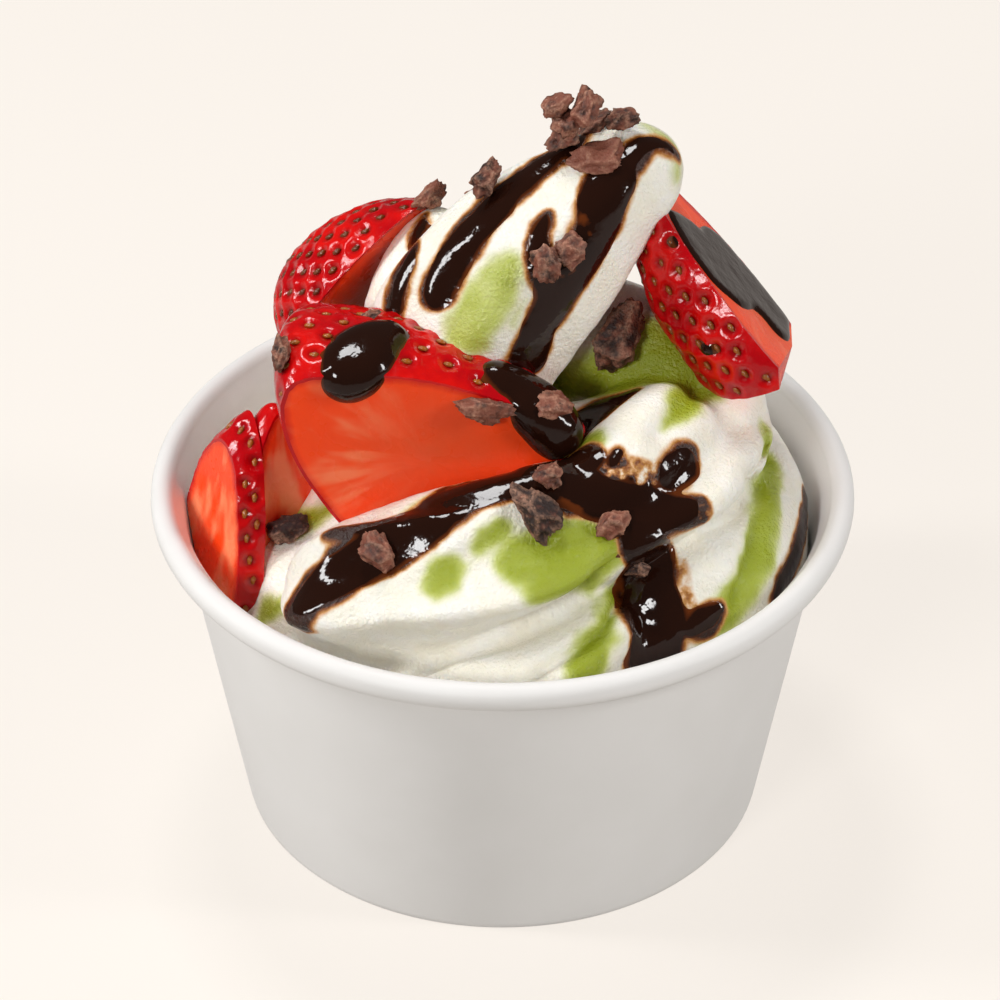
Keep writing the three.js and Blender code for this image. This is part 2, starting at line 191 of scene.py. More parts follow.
@dataclass
class Surface:
    """A mesh in millimetres that toppings can be laid on by line of sight."""

    mesh: bmesh.types.BMesh
    tree: BVHTree = field(init=False)

    def __post_init__(self) -> None:
        """Index the faces for casting."""
        self.mesh.normal_update()
        self.tree = BVHTree.FromBMesh(self.mesh)

    def seen(self, sight: Sight, pixel: Pixel) -> Optional[tuple[Vector, Vector]]:
        """Where a pixel's line of sight first meets the surface.

        Args:
            sight: The place to look from.
            pixel: Where to look, in the picture.

        Returns:
            The point and the way the surface looks there, or None where it is missed.
        """
        point, looks, _, _ = self.tree.ray_cast(sight.eye, sight.ray(pixel))
        return None if point is None else (point, looks)


# Pieces


def finish_piece(
    name: str,
    mesh: bmesh.types.BMesh,
    materials: Sequence[bpy.types.Material],
    stands_for: str = "",
) -> bpy.types.Object:
    """Turn a mesh in millimetres into a finished piece of the sundae.

    Args:
        name: The piece's name.
        mesh: Its mesh, which is freed.
        materials: Its materials, in the order of the faces' material numbers.
        stands_for: The solid that it replaces, if any.

    Returns:
        The piece's object.
    """
    bmesh.ops.scale(mesh, vec=(MM, MM, MM), verts=mesh.verts)
    for face in mesh.faces:
        face.smooth = True
    data = bpy.data.meshes.new(name)
    mesh.to_mesh(data)
    mesh.free()
    for material in materials:
        data.materials.append(material)
    piece = bpy.data.objects.new(name, data)
    bpy.context.scene.collection.objects.link(piece)
    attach(piece, BODY)
    if stands_for:
        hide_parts(stands_for)
    log.info("%s: %d faces", name, len(data.polygons))
    return piece


def remeshed(mesh: bmesh.types.BMesh, voxel: float) -> bmesh.types.BMesh:
    """One skin round overlapping closed shells.

    Args:
        mesh: The shells, which are freed.
        voxel: The size of the new skin's faces.

    Returns:
        The new skin.
    """
    data = bpy.data.meshes.new("shells")
    mesh.to_mesh(data)
    mesh.free()
    shells = bpy.data.objects.new("shells", data)
    bpy.context.scene.collection.objects.link(shells)
    remesh = shells.modifiers.new("skin", "REMESH")
    remesh.mode = "VOXEL"
    remesh.voxel_size = voxel
    evaluated = shells.evaluated_get(bpy.context.evaluated_depsgraph_get())
    skin = bmesh.new()
    skin.from_mesh(evaluated.to_mesh())
    evaluated.to_mesh_clear()
    bpy.data.objects.remove(shells)
    bpy.data.meshes.remove(data)
    return skin


def places_of(mesh: bmesh.types.BMesh) -> np.ndarray:
    """A mesh's vertex places, one row each."""
    return np.array([vert.co for vert in mesh.verts])


def store(mesh: bmesh.types.BMesh, name: str, values: Iterable[float]) -> None:
    """Keep a number on each vertex under a name that materials can read."""
    layer = mesh.verts.layers.float.get(name) or mesh.verts.layers.float.new(name)
    for vert, value in zip(mesh.verts, values):
        vert[layer] = value


def level(mesh: bmesh.types.BMesh, verts: Sequence[bmesh.types.BMVert], times: int) -> None:
    """Smooth some of a mesh's vertices, over and over."""
    for _ in range(times):
        bmesh.ops.smooth_vert(
            mesh, verts=verts, factor=0.5, use_axis_x=True, use_axis_y=True, use_axis_z=True
        )


def spin_outline(mesh: bmesh.types.BMesh, outline: Sequence[Pair], steps: int) -> None:
    """Turn an outline of radius and height round the cup's axis.

    Args:
        mesh: The mesh to add it to.
        outline: Its points, from the axis and back to it.
        steps: How many steps the full turn has.
    """
    points = [mesh.verts.new((radius, 0.0, height)) for radius, height in outline]
    edges = [mesh.edges.new(pair) for pair in zip(points, points[1:])]
    bmesh.ops.spin(
        mesh,
        geom=points + edges,
        cent=(0, 0, 0),
        axis=(0, 0, 1),
        angle=math.tau,
        steps=steps,
        use_merge=True,
    )


def nearest_finder(places: Sequence[Vector]) -> KDTree:
    """An index of places that finds the nearest one."""
    tree = KDTree(max(1, len(places)))
    for i, place in enumerate(places):
        tree.insert(place, i)
    tree.balance()
    return tree


# Materials

GRAIN_DETAIL = 4.0
CLOUD_DETAIL = 3.0
MIDDLE_GREY = 0.5  # what noise is on average


class Shades:
    """A material's node tree, with short ways to add nodes to it."""

    def __init__(self, tree: bpy.types.NodeTree) -> None:
        """Work on a node tree."""
        self.tree = tree

    def node(self, kind: str, **settings: object) -> bpy.types.Node:
        """A new node with its settings."""
        made = self.tree.nodes.new(kind)
        for name, value in settings.items():
            setattr(made, name, value)
        return made

    def feed(self, socket: bpy.types.NodeSocket, value: object) -> None:
        """Link an output to a socket, or set the socket's own value."""
        if isinstance(value, bpy.types.NodeSocket):
            self.tree.links.new(value, socket)
        else:
            socket.default_value = value

    def math(self, operation: str, *values: object) -> bpy.types.NodeSocket:
        """A calculation on one to three values."""
        made = self.node("ShaderNodeMath", operation=operation)
        for socket, value in zip(made.inputs, values):
            self.feed(socket, value)
        return made.outputs[0]

    def ranged(
        self, value: object, low: float, high: float, to_low: float = 0.0, to_high: float = 1.0
    ) -> bpy.types.NodeSocket:
        """A value moved from one range to another on a smooth curve, held at the ends."""
        made = self.node("ShaderNodeMapRange", interpolation_type="SMOOTHSTEP")
        for socket, number in zip(made.inputs, (value, low, high, to_low, to_high)):
            self.feed(socket, number)
        return made.outputs[0]

    def mixed(self, share: object, first: object, second: object) -> bpy.types.NodeSocket:
        """A colour between two others."""
        made = self.node("ShaderNodeMix", data_type="RGBA")
        self.feed(made.inputs["Factor"], share)
        self.feed(made.inputs["A"], first)
        self.feed(made.inputs["B"], second)
        return made.outputs["Result"]

    def mixed_value(self, share: object, first: object, second: object) -> bpy.types.NodeSocket:
        """A value between two others, by share."""
        made = self.node("ShaderNodeMix", data_type="FLOAT")
        self.feed(made.inputs["Factor"], share)
        self.feed(made.inputs["A"], first)
        self.feed(made.inputs["B"], second)
        return made.outputs["Result"]

    def centred(self, cloud: object) -> bpy.types.NodeSocket:
        """A cloud moved to lie about 0."""
        return self.math("SUBTRACT", cloud, MIDDLE_GREY)

    def stirred(self, value: object, cloud: object, strength: float) -> bpy.types.NodeSocket:
        """A value made uneven by a cloud."""
        return self.math("ADD", value, self.math("MULTIPLY", self.centred(cloud), strength))

    def ramp(self, share: object, stops: Sequence[tuple[float, Sequence[float]]]) -> bpy.types.NodeSocket:
        """A colour picked along a row of stops."""
        made = self.node("ShaderNodeValToRGB")
        elements = made.color_ramp.elements
        while len(elements) < len(stops):
            elements.new(0.5)
        for element, (place, colour) in zip(elements, stops):
            element.position = place
            element.color = colour
        self.feed(made.inputs["Fac"], share)
        return made.outputs["Color"]

    def spots(self, place: object, size_mm: float) -> bpy.types.NodeSocket:
        """Cloudy noise with features of a size, on Object coordinates."""
        made = self.node("ShaderNodeTexNoise")
        self.feed(made.inputs["Vector"], place)
        made.inputs["Scale"].default_value = 1.0 / (size_mm * MM)
        made.inputs["Detail"].default_value = CLOUD_DETAIL
        return made.outputs["Fac"]

    def kept(self, name: str) -> bpy.types.Node:
        """An attribute kept on the piece."""
        return self.node("ShaderNodeAttribute", attribute_name=name)

    def here(self) -> bpy.types.NodeSocket:
        """Object coordinates."""
        return self.node("ShaderNodeTexCoord").outputs["Object"]

    def bumped(self, height: object, strength: float, depth_mm: float) -> bpy.types.NodeSocket:
        """A normal raised by a height."""
        made = self.node("ShaderNodeBump")
        made.inputs["Strength"].default_value = strength
        made.inputs["Distance"].default_value = depth_mm * MM
        self.feed(made.inputs["Height"], height)
        return made.outputs["Normal"]


def colour(red: int, green: int, blue: int) -> Colour:
    """A display colour from 0 to 255 as the linear colour that shaders take."""
    shares = [value / 255 for value in (red, green, blue)]
    linear = [s / 12.92 if s <= 0.04045 else ((s + 0.055) / 1.055) ** 2.4 for s in shares]
    return (*linear, 1.0)


def grain_group() -> bpy.types.NodeTree:
    """The fine grain and clouds that all the finishes share, built once.

    Returns:
        A group with the place and the sizes of grain and cloud in, and Height and Mottle out.
    """
    known = bpy.data.node_groups.get("fine_grain")
    if known:
        return known
    tree = bpy.data.node_groups.new("fine_grain", "ShaderNodeTree")
    tree.interface.new_socket("Place", in_out="INPUT", socket_type="NodeSocketVector")
    for name in ("Grain per metre", "Cloud per metre"):
        tree.interface.new_socket(name, in_out="INPUT", socket_type="NodeSocketFloat")
    for name in ("Height", "Mottle"):
        tree.interface.new_socket(name, in_out="OUTPUT", socket_type="NodeSocketFloat")
    shades = Shades(tree)
    given = shades.node("NodeGroupInput")
    result = shades.node("NodeGroupOutput")
    for size, out, detail in (
        ("Grain per metre", "Height", GRAIN_DETAIL),
        ("Cloud per metre", "Mottle", CLOUD_DETAIL),
    ):
        cloud = shades.node("ShaderNodeTexNoise")
        cloud.inputs["Detail"].default_value = detail
        shades.feed(cloud.inputs["Vector"], given.outputs["Place"])
        shades.feed(cloud.inputs["Scale"], given.outputs[size])
        shades.feed(result.inputs[out], cloud.outputs["Fac"])
    return tree


@dataclass(frozen=True)
class Finish:
    """A finish: its name and the values that are the same all over it."""

    name: str
    gloss_ior: float = 1.45
    coat: float = 0.0
    coat_roughness: float = 0.1
    scatter: float = 0.0
    scatter_reach: Triple = (1.0, 0.6, 0.4)
    scatter_mm: float = 1.5
    grain_mm: float = 0.5
    cloud_mm: float = 6.0
    gloss_between: Pair = (0.3, 0.7)
    roughness: Pair = (0.5, 0.6)
    bump: float = 0.0
    bump_mm: float = 0.5

    def shader(self) -> tuple[bpy.types.Material, Shades, bpy.types.Node, bpy.types.Node]:
        """Start the material.

        Returns:
            The material, its tree, its Principled shader and its grain.
        """
        material = bpy.data.materials.new(self.name)
        material.use_nodes = True
        shades = Shades(material.node_tree)
        principled = material.node_tree.nodes["Principled BSDF"]
        principled.inputs["IOR"].default_value = self.gloss_ior
        principled.inputs["Coat Weight"].default_value = self.coat
        principled.inputs["Coat Roughness"].default_value = self.coat_roughness
        principled.inputs["Subsurface Weight"].default_value = self.scatter
        principled.inputs["Subsurface Radius"].default_value = self.scatter_reach
        principled.inputs["Subsurface Scale"].default_value = self.scatter_mm * MM
        grain = shades.node("ShaderNodeGroup", node_tree=grain_group())
        shades.feed(grain.inputs["Place"], shades.here())
        grain.inputs["Grain per metre"].default_value = 1.0 / (self.grain_mm * MM)
        grain.inputs["Cloud per metre"].default_value = 1.0 / (self.cloud_mm * MM)
        return material, shades, principled, grain

    def dress(
        self,
        shades: Shades,
        principled: bpy.types.Node,
        base: bpy.types.NodeSocket,
        guide: bpy.types.NodeSocket,
        relief: Optional[bpy.types.NodeSocket] = None,
    ) -> None:
        """Give the shader its colour, gloss and fine relief.

        Args:
            shades: The material's node tree.
            principled: The material's Principled shader.
            base: The colour.
            guide: What the gloss follows.
            relief: The height of the relief, if there is any.
        """
        shades.feed(principled.inputs["Base Color"], base)
        gloss = shades.ranged(guide, *self.gloss_between, *self.roughness)
        shades.feed(principled.inputs["Roughness"], gloss)
        if relief is not None:
            shades.feed(principled.inputs["Normal"], shades.bumped(relief, self.bump, self.bump_mm))


@dataclass(frozen=True)
class PaperFinish(Finish):
    """White coated paper board with faint fibres."""

    name: str = "coated_paper"
    grain_mm: float = 0.35
    cloud_mm: float = 9.0
    bump: float = 0.12
    bump_mm: float = 0.08
    bright: Colour = colour(234, 232, 230)
    dull: Colour = colour(228, 226, 223)

    def material(self) -> bpy.types.Material:
        """The paper's material."""
        material, shades, principled, grain = self.shader()
        mottle = grain.outputs["Mottle"]
        white = shades.mixed(mottle, self.dull, self.bright)
        self.dress(shades, principled, white, mottle, grain.outputs["Height"])
        return material


@dataclass(frozen=True)
class SoftServeFinish(Finish):
    """Moist soft serve with ice grain, green syrup in its creases and cocoa that has bled from the sauce."""

    name: str = "soft_serve_milk"
    scatter: float = 0.2
    scatter_mm: float = 1.2
    scatter_reach: Triple = (1.0, 0.8, 0.55)
    lump_mm: float = 1.5
    cloud_mm: float = 5.0
    gloss_between: Pair = (0.1, 0.8)
    roughness: Pair = (0.34, 0.2)
    bump: float = 0.8
    milk_between: Pair = (0.35, 0.7)
    stain_between: Pair = (0.05, 0.75)
    deep_between: Pair = (0.45, 1.05)
    brown_between: Pair = (0.03, 0.45)
    stain_cloud: float = 0.5
    grainy_edge: float = 0.4
    lumpy_edge: float = 4.0
    amber_to: float = 0.35
    caramel_at: float = 0.6
    cocoa_at: float = 0.85
    milk: Colour = colour(249, 246, 238)
    cream: Colour = colour(246, 241, 226)
    syrup: Colour = colour(196, 204, 110)
    deep_syrup: Colour = colour(152, 164, 34)
    amber: Colour = colour(206, 148, 76)
    caramel: Colour = colour(134, 72, 24)
    cocoa: Colour = colour(48, 21, 9)

    def material(self) -> bpy.types.Material:
        """The soft serve's material."""
        material, shades, principled, grain = self.shader()
        stain, bleed, crumbs = (shades.kept(name).outputs["Fac"] for name in ("syrup", "bleed", "crumbs"))
        mottle, height = grain.outputs["Mottle"], grain.outputs["Height"]
        milk = shades.mixed(shades.ranged(mottle, *self.milk_between), self.cream, self.milk)
        uneven = shades.stirred(stain, mottle, self.stain_cloud)
        green = shades.mixed(shades.ranged(uneven, *self.deep_between), self.syrup, self.deep_syrup)
        stained = shades.mixed(shades.ranged(uneven, *self.stain_between), milk, green)
        grainy = shades.math("MULTIPLY", shades.centred(height), self.grainy_edge)
        lumps = shades.centred(shades.spots(shades.here(), self.lump_mm))
        edge = shades.mixed_value(crumbs, grainy, shades.math("MULTIPLY", lumps, self.lumpy_edge))
        crumbly = shades.math("ADD", bleed, shades.math("MULTIPLY", edge, bleed))
        stops = (
            (0.0, self.amber),
            (self.amber_to, self.amber),
            (self.caramel_at, self.caramel),
            (self.cocoa_at, self.cocoa),
        )
        brown = shades.ramp(crumbly, stops)
        bled = shades.mixed(shades.ranged(crumbly, *self.brown_between), stained, brown)
        self.dress(shades, principled, bled, shades.math("MAXIMUM", stain, bleed), height)
        return material


@dataclass(frozen=True)
class SauceFinish(Finish):
    """Thick glossy chocolate sauce, browner where it thins out."""

    name: str = "chocolate_sauce"
    gloss_ior: float = 1.38
    cloud_mm: float = 3.0
    roughness: Pair = (0.05, 0.1)
    bump: float = 0.2
    bump_mm: float = 0.8
    cloud_share: float = 0.15
    thin_to: float = 0.1
    thick_from: float = 0.4
    thick: Colour = colour(34, 14, 7)
    thin: Colour = colour(92, 42, 14)

    def material(self) -> bpy.types.Material:
        """The sauce's material."""
        material, shades, principled, grain = self.shader()
        depth = shades.kept("depth").outputs["Fac"]
        mottle = grain.outputs["Mottle"]
        uneven = shades.math("ADD", depth, shades.math("MULTIPLY", mottle, self.cloud_share))
        stops = ((0.0, self.thin), (self.thin_to, self.thin), (self.thick_from, self.thick))
        self.dress(shades, principled, shades.ramp(uneven, stops), mottle, mottle)
        return material


@dataclass(frozen=True)
class SkinFinish(Finish):
    """Taut glossy strawberry skin, with painted shade that makes it a deeper red in the seed pits."""

    name: str = "strawberry_skin"
    gloss_ior: float = 1.42
    scatter: float = 0.1
    scatter_reach: Triple = (1.0, 0.12, 0.06)
    grain_mm: float = 0.6
    cloud_mm: float = 7.0
    roughness: Pair = (0.12, 0.2)
    bump: float = 0.22
    bump_mm: float = 0.25
    bright_between: Pair = (0.35, 0.68)
    # painted shade in the seed pits: how it follows their depth and how strong it gets
    pit_shade_between: Pair = (0.2, 1.0)
    pit_shade_share: float = 0.85
    bright: Colour = colour(212, 12, 8)
    deep: Colour = colour(178, 2, 14)
    # painted shade: the darker red laid into the seed pits
    pit_shade: Colour = colour(124, 2, 6)

    def material(self) -> bpy.types.Material:
        """The skin's material."""
        material, shades, principled, grain = self.shader()
        mottle = grain.outputs["Mottle"]
        red = shades.mixed(shades.ranged(mottle, *self.bright_between), self.deep, self.bright)
        # painted shade in the seed pits, as strong as each pit is deep
        hollow = shades.ranged(shades.kept("pit_shade").outputs["Fac"], *self.pit_shade_between, 0.0, self.pit_shade_share)
        self.dress(shades, principled, shades.mixed(hollow, red, self.pit_shade), mottle, grain.outputs["Height"])
        return material


@dataclass(frozen=True)
class FleshFinish(Finish):
    """Cut strawberry: a red rim, orange red flesh, a pale core and fine strands that fan out from it."""

    name: str = "strawberry_flesh"
    gloss_ior: float = 1.33
    scatter: float = 0.2
    scatter_reach: Triple = (1.0, 0.3, 0.15)
    roughness: Pair = (0.22, 0.34)
    bump: float = 0.3
    bump_mm: float = 0.2
    strand_detail: float = 2.0
    strand_between: Pair = (0.45, 0.66)
    depth_cloud: float = 1.6
    ramp_per_mm: float = 0.1
    rim_to: float = 0.03
    flesh_from: float = 0.14
    pale_between: Pair = (-0.2, 0.2)
    pale_share: Pair = (0.7, 1.1)
    rim: Colour = colour(206, 14, 6)
    flesh: Colour = colour(255, 70, 10)
    pale: Colour = colour(216, 100, 64)
    strand: Colour = colour(255, 150, 104)

    def material(self) -> bpy.types.Material:
        """The cut face's material."""
        material, shades, principled, grain = self.shader()
        depth, core, streaks = (shades.kept(name).outputs["Fac"] for name in ("depth", "core", "streak"))
        strands = shades.node("ShaderNodeTexNoise")
        strands.inputs["Scale"].default_value = 1.0
        strands.inputs["Detail"].default_value = self.strand_detail
        shades.feed(strands.inputs["Vector"], shades.kept("place").outputs["Vector"])
        mottle = grain.outputs["Mottle"]
        inward = shades.math("MULTIPLY", shades.stirred(depth, mottle, self.depth_cloud), self.ramp_per_mm)
        stops = ((0.0, self.rim), (self.rim_to, self.rim), (self.flesh_from, self.flesh), (1.0, self.flesh))
        red = shades.ramp(inward, stops)
        cloudy = shades.ranged(shades.centred(mottle), *self.pale_between, *self.pale_share)
        pale = shades.mixed(shades.math("MULTIPLY", core, cloudy), red, self.pale)
        strand = shades.math("MULTIPLY", shades.ranged(strands.outputs["Fac"], *self.strand_between), streaks)
        height = shades.math("ADD", grain.outputs["Height"], strands.outputs["Fac"])
        self.dress(shades, principled, shades.mixed(strand, pale, self.strand), mottle, height)
        return material


@dataclass(frozen=True)
class SeedFinish(Finish):
    """Amber strawberry seeds, each a little different."""

    name: str = "strawberry_seed"
    coat: float = 0.3
    cloud_mm: float = 4.0
    roughness: Pair = (0.25, 0.4)
    ripe_cloud: float = 0.8
    amber: Colour = colour(180, 104, 30)
    brown: Colour = colour(84, 30, 10)

    def material(self) -> bpy.types.Material:
        """The seeds' material."""
        material, shades, principled, grain = self.shader()
        mottle = grain.outputs["Mottle"]
        ripe = shades.stirred(shades.kept("ripe").outputs["Fac"], mottle, self.ripe_cloud)
        self.dress(shades, principled, shades.mixed(ripe, self.amber, self.brown), mottle)
        return material


@dataclass(frozen=True)
class NibFinish(Finish):
    """Broken cacao: dark mauve brown faces, and paler edges and ridges that are partly wear and partly
    painted highlight.
    """

    name: str = "cacao_nib"
    grain_mm: float = 0.35
    cloud_mm: float = 1.3
    roughness: Pair = (0.45, 0.7)
    bump: float = 0.7
    bump_mm: float = 0.4
    tone_share: float = 0.5
    warm_between: Pair = (0.35, 0.75)
    wear_and_highlight_between: Pair = (0.3, 0.6)
    wear_and_highlight_share: Pair = (0.15, 0.9)
    dark: Colour = colour(40, 21, 16)
    warm: Colour = colour(128, 72, 54)
    # paler colour on edges and ridges: partly wear, partly painted highlight
    edge: Colour = colour(208, 156, 128)

    def material(self) -> bpy.types.Material:
        """The nibs' material."""
        material, shades, principled, grain = self.shader()
        wear_and_highlight, tone = (shades.kept(name).outputs["Fac"] for name in ("edge", "tone"))
        mottle, height = grain.outputs["Mottle"], grain.outputs["Height"]
        uneven = shades.stirred(mottle, tone, self.tone_share)
        brown = shades.mixed(shades.ranged(uneven, *self.warm_between), self.dark, self.warm)
        # how pale the edges and ridges get: partly wear, partly painted highlight
        share = shades.math("MULTIPLY", wear_and_highlight, shades.ranged(height, *self.wear_and_highlight_between, *self.wear_and_highlight_share))
        self.dress(shades, principled, shades.mixed(share, brown, self.edge), mottle, height)
        return material


@dataclass(frozen=True)
class FloorFinish(Finish):
    """A plain pale cream table."""

    name: str = "cream_table"
    grain_mm: float = 1.0
    cloud_mm: float = 60.0
    roughness: Pair = (0.8, 0.9)
    pale: Colour = colour(126, 122, 117)
    paler: Colour = colour(128, 124, 119)
    glow: Colour = colour(250, 243, 235)
    glow_strength: float = 0.76
    glow_around: float = 0.32

    def material(self) -> bpy.types.Material:
        """The table's material, lit a little from below as a photographer's table is."""
        material, shades, principled, grain = self.shader()
        principled.inputs["Emission Color"].default_value = self.glow
        direct = shades.node("ShaderNodeLightPath").outputs["Is Camera Ray"]
        glow = shades.ranged(direct, 0.0, 1.0, self.glow_around, self.glow_strength)
        shades.feed(principled.inputs["Emission Strength"], glow)
        mottle = grain.outputs["Mottle"]
        self.dress(shades, principled, shades.mixed(mottle, self.pale, self.paler), mottle)
        return material


# Paper cup


@dataclass
class PaperCup:
    """A tapered paper cup with a rolled rim, a raised floor and a lapped seam at the back."""

    rim_radius: float = 48.0
    height: float = 50.2
    base_radius: float = 36.3
    wall: float = 0.8
    curl_half_width: float = 1.7
    curl_half_height: float = 1.9
    curl_from: float = -0.8
    curl_to: float = 0.95
    curl_clear: float = 1.2
    floor_rise: float = 6.0
    floor_fillet: float = 0.8
    skirt: float = 1.2
    foot_bevel: float = 0.2
    foot_rise: float = 0.25
    side_from: float = 1.0
    steps: int = 180
    rows: int = 12
    curl_steps: int = 20
    seam_angle: float = 118.0
    seam_width: float = 7.0
    seam_step: float = 0.3
    skin: float = 0.1
    over_rim: float = 4.0

    @property
    def slope(self) -> float:
        """How much wider the wall gets per millimetre of height."""
        top = self.rim_radius - 2 * self.curl_half_width
        return (top - self.base_radius) / (self.height - self.curl_half_height)

    def outer(self, height: float) -> float:
        """The wall's outer radius at a height."""
        return self.base_radius + self.slope * height

    def inner(self, height: float) -> float:
        """The wall's inner radius at a height."""
        return self.outer(height) - self.wall

    def profile(self) -> list[Pair]:
        """The outline from the middle of the underside to the middle of the floor, as radius and height."""
        centre_radius = self.rim_radius - self.curl_half_width
        centre_height = self.height - self.curl_half_height
        floor_top = self.floor_rise + self.wall
        under = [
            (0.0, self.floor_rise),
            (self.outer(self.floor_rise) - self.skirt, self.floor_rise),
            (self.base_radius - self.skirt, 0.0),
            (self.base_radius - self.foot_bevel, 0.0),
            (self.base_radius, self.foot_rise),
        ]
        side_top = centre_height - self.curl_clear * self.curl_half_height
        side = [(self.outer(h), h) for h in np.linspace(self.side_from, side_top, self.rows)]
        curl = []
        for i in range(self.curl_steps + 1):
            turn = blend(self.curl_from * math.pi, self.curl_to * math.pi, i / self.curl_steps)
            out, up = self.curl_half_width * math.cos(turn), self.curl_half_height * math.sin(turn)
            curl.append((centre_radius + out, centre_height + up))
        inside_low = floor_top + self.floor_fillet
        inside = [(self.inner(h), h) for h in np.linspace(centre_height - self.wall, inside_low, self.rows)]
        floor = [(self.inner(floor_top) - self.floor_fillet, floor_top), (0.0, floor_top)]
        return [*under, *side, *curl, *inside, *floor]

    def add_seam(self, mesh: bmesh.types.BMesh) -> None:
        """Lap the wall over itself along one line at the back, under the curl."""
        top = self.height - 2 * self.curl_half_height
        for vert in mesh.verts:
            reach = math.hypot(vert.co.x, vert.co.y)
            along = math.radians(math.degrees(math.atan2(vert.co.y, vert.co.x)) - self.seam_angle) * reach
            on_wall = vert.co.z < top and reach > self.outer(vert.co.z) - self.skin
            if on_wall and 0.0 <= along <= self.seam_width:
                vert.co.xy *= 1 + self.seam_step * (1 - along / self.seam_width) / reach

    def build(self) -> bpy.types.Object:
        """Make the cup.

        Returns:
            The cup, which stands for the solid cup.
        """
        mesh = bmesh.new()
        spin_outline(mesh, self.profile(), self.steps)
        bmesh.ops.remove_doubles(mesh, verts=mesh.verts, dist=TINY)
        bmesh.ops.recalc_face_normals(mesh, faces=mesh.faces)
        self.add_seam(mesh)
        return finish_piece("cup", mesh, [PaperFinish().material()], "paper_cup")

    def keep_inside(self, mesh: bmesh.types.BMesh, clearance: float = 0.12) -> None:
        """Press what would cross the wall back against its inner face.

        Args:
            mesh: What lies in the cup.
            clearance: The gap that stays to the wall.
        """
        for vert in mesh.verts:
            reach = math.hypot(vert.co.x, vert.co.y)
            limit = self.inner(min(vert.co.z, self.height)) - clearance
            if reach > limit and vert.co.z < self.height + self.over_rim:
                vert.co.xy *= limit / reach


# Soft serve


@dataclass(frozen=True)
class Rope:
    """A rope of soft serve along a curve, pressed into flutes by the star nozzle."""

    path: tuple
    radii: tuple
    flutes: int = 0
    flute_depth: float = 0.0
    ridge_turn: float = 0.0
    sides: int = 48
    rows: int = 60
    wobble: float = 0.02
    wobble_per_mm: float = 0.12
    longest_end: float = 0.45

    def add_to(self, mesh: bmesh.types.BMesh) -> None:
        """Draw a sphere out along the curve and add it to a mesh."""
        made = bmesh.ops.create_uvsphere(
            mesh, u_segments=self.sides, v_segments=self.rows, radius=1.0
        )["verts"]
        ball = np.array([vert.co for vert in made])
        step = np.arccos(np.clip(ball[:, 2], -1.0, 1.0)) / math.pi
        turn = np.arctan2(ball[:, 1], ball[:, 0])
        along = (step + (1 - np.cos(step * math.pi)) / 2) / 2
        shares = np.linspace(0.0, 1.0, 2 * self.rows + 1)
        path = np.array(smooth_path(self.path, len(shares)))
        length = np.linalg.norm(np.diff(path, axis=0), axis=1).sum()
        centre = np.stack([np.interp(along, shares, path[:, axis]) for axis in range(3)], axis=1)
        way = np.gradient(path, axis=0)
        ahead = np.stack([np.interp(along, shares, way[:, axis]) for axis in range(3)], axis=1)
        ahead /= np.linalg.norm(ahead, axis=1)[:, None]
        outward = np.cross(ahead, np.array(UP))
        outward /= np.linalg.norm(outward, axis=1)[:, None]
        upward = np.cross(outward, ahead)
        end_share = min(self.longest_end, min(self.radii) / length)
        from_end = np.minimum(np.minimum(along, 1 - along), end_share) / end_share
        reach = np.interp(along, np.linspace(0, 1, len(self.radii)), self.radii)
        reach = reach * np.sqrt(np.clip(1 - (1 - from_end) ** 2, 0.0, 1.0))
        groove = np.abs(np.sin(self.flutes * (turn - np.radians(self.ridge_turn)) / 2))
        reach *= 1 - self.flute_depth * groove
        spot = centre + (upward * np.cos(turn)[:, None] - outward * np.sin(turn)[:, None]) * reach[:, None]
        for vert, place, middle in zip(made, spot, centre):
            swell = self.wobble * noise.noise(Vector(place) * self.wobble_per_mm)
            vert.co = Vector(middle).lerp(Vector(place), 1 + swell)


@dataclass(frozen=True)
class Turn:
    """A piped turn round the cup's axis: keys of angle, distance from the axis, height and rope radius."""

    keys: tuple
    ridge_turn: float
    flutes: int = 5
    flute_depth: float = 0.2
    step_degrees: float = 6.0
    sides: int = 100
    rows_a_step: int = 3

    def rope(self) -> Rope:
        """The turn as a rope."""
        angles, outs, heights, radii = zip(*self.keys)
        places = np.linspace(angles[0], angles[-1], int((angles[-1] - angles[0]) / self.step_degrees) + 1)
        out, height = np.interp(places, angles, outs), np.interp(places, angles, heights)
        turns = np.radians(places)
        path = tuple(zip(out * np.cos(turns), out * np.sin(turns), height))
        return Rope(
            path,
            tuple(np.interp(places, angles, radii)),
            flutes=self.flutes,
            flute_depth=self.flute_depth,
            ridge_turn=self.ridge_turn,
            sides=self.sides,
            rows=len(places) * self.rows_a_step,
        )


@dataclass(frozen=True)
class Fold:
    """A fold pressed in along a line of pixels, or a crest drawn out where its depth is below 0."""

    pixels: tuple
    depth: float
    width: float
    sight: Sight = FRONT


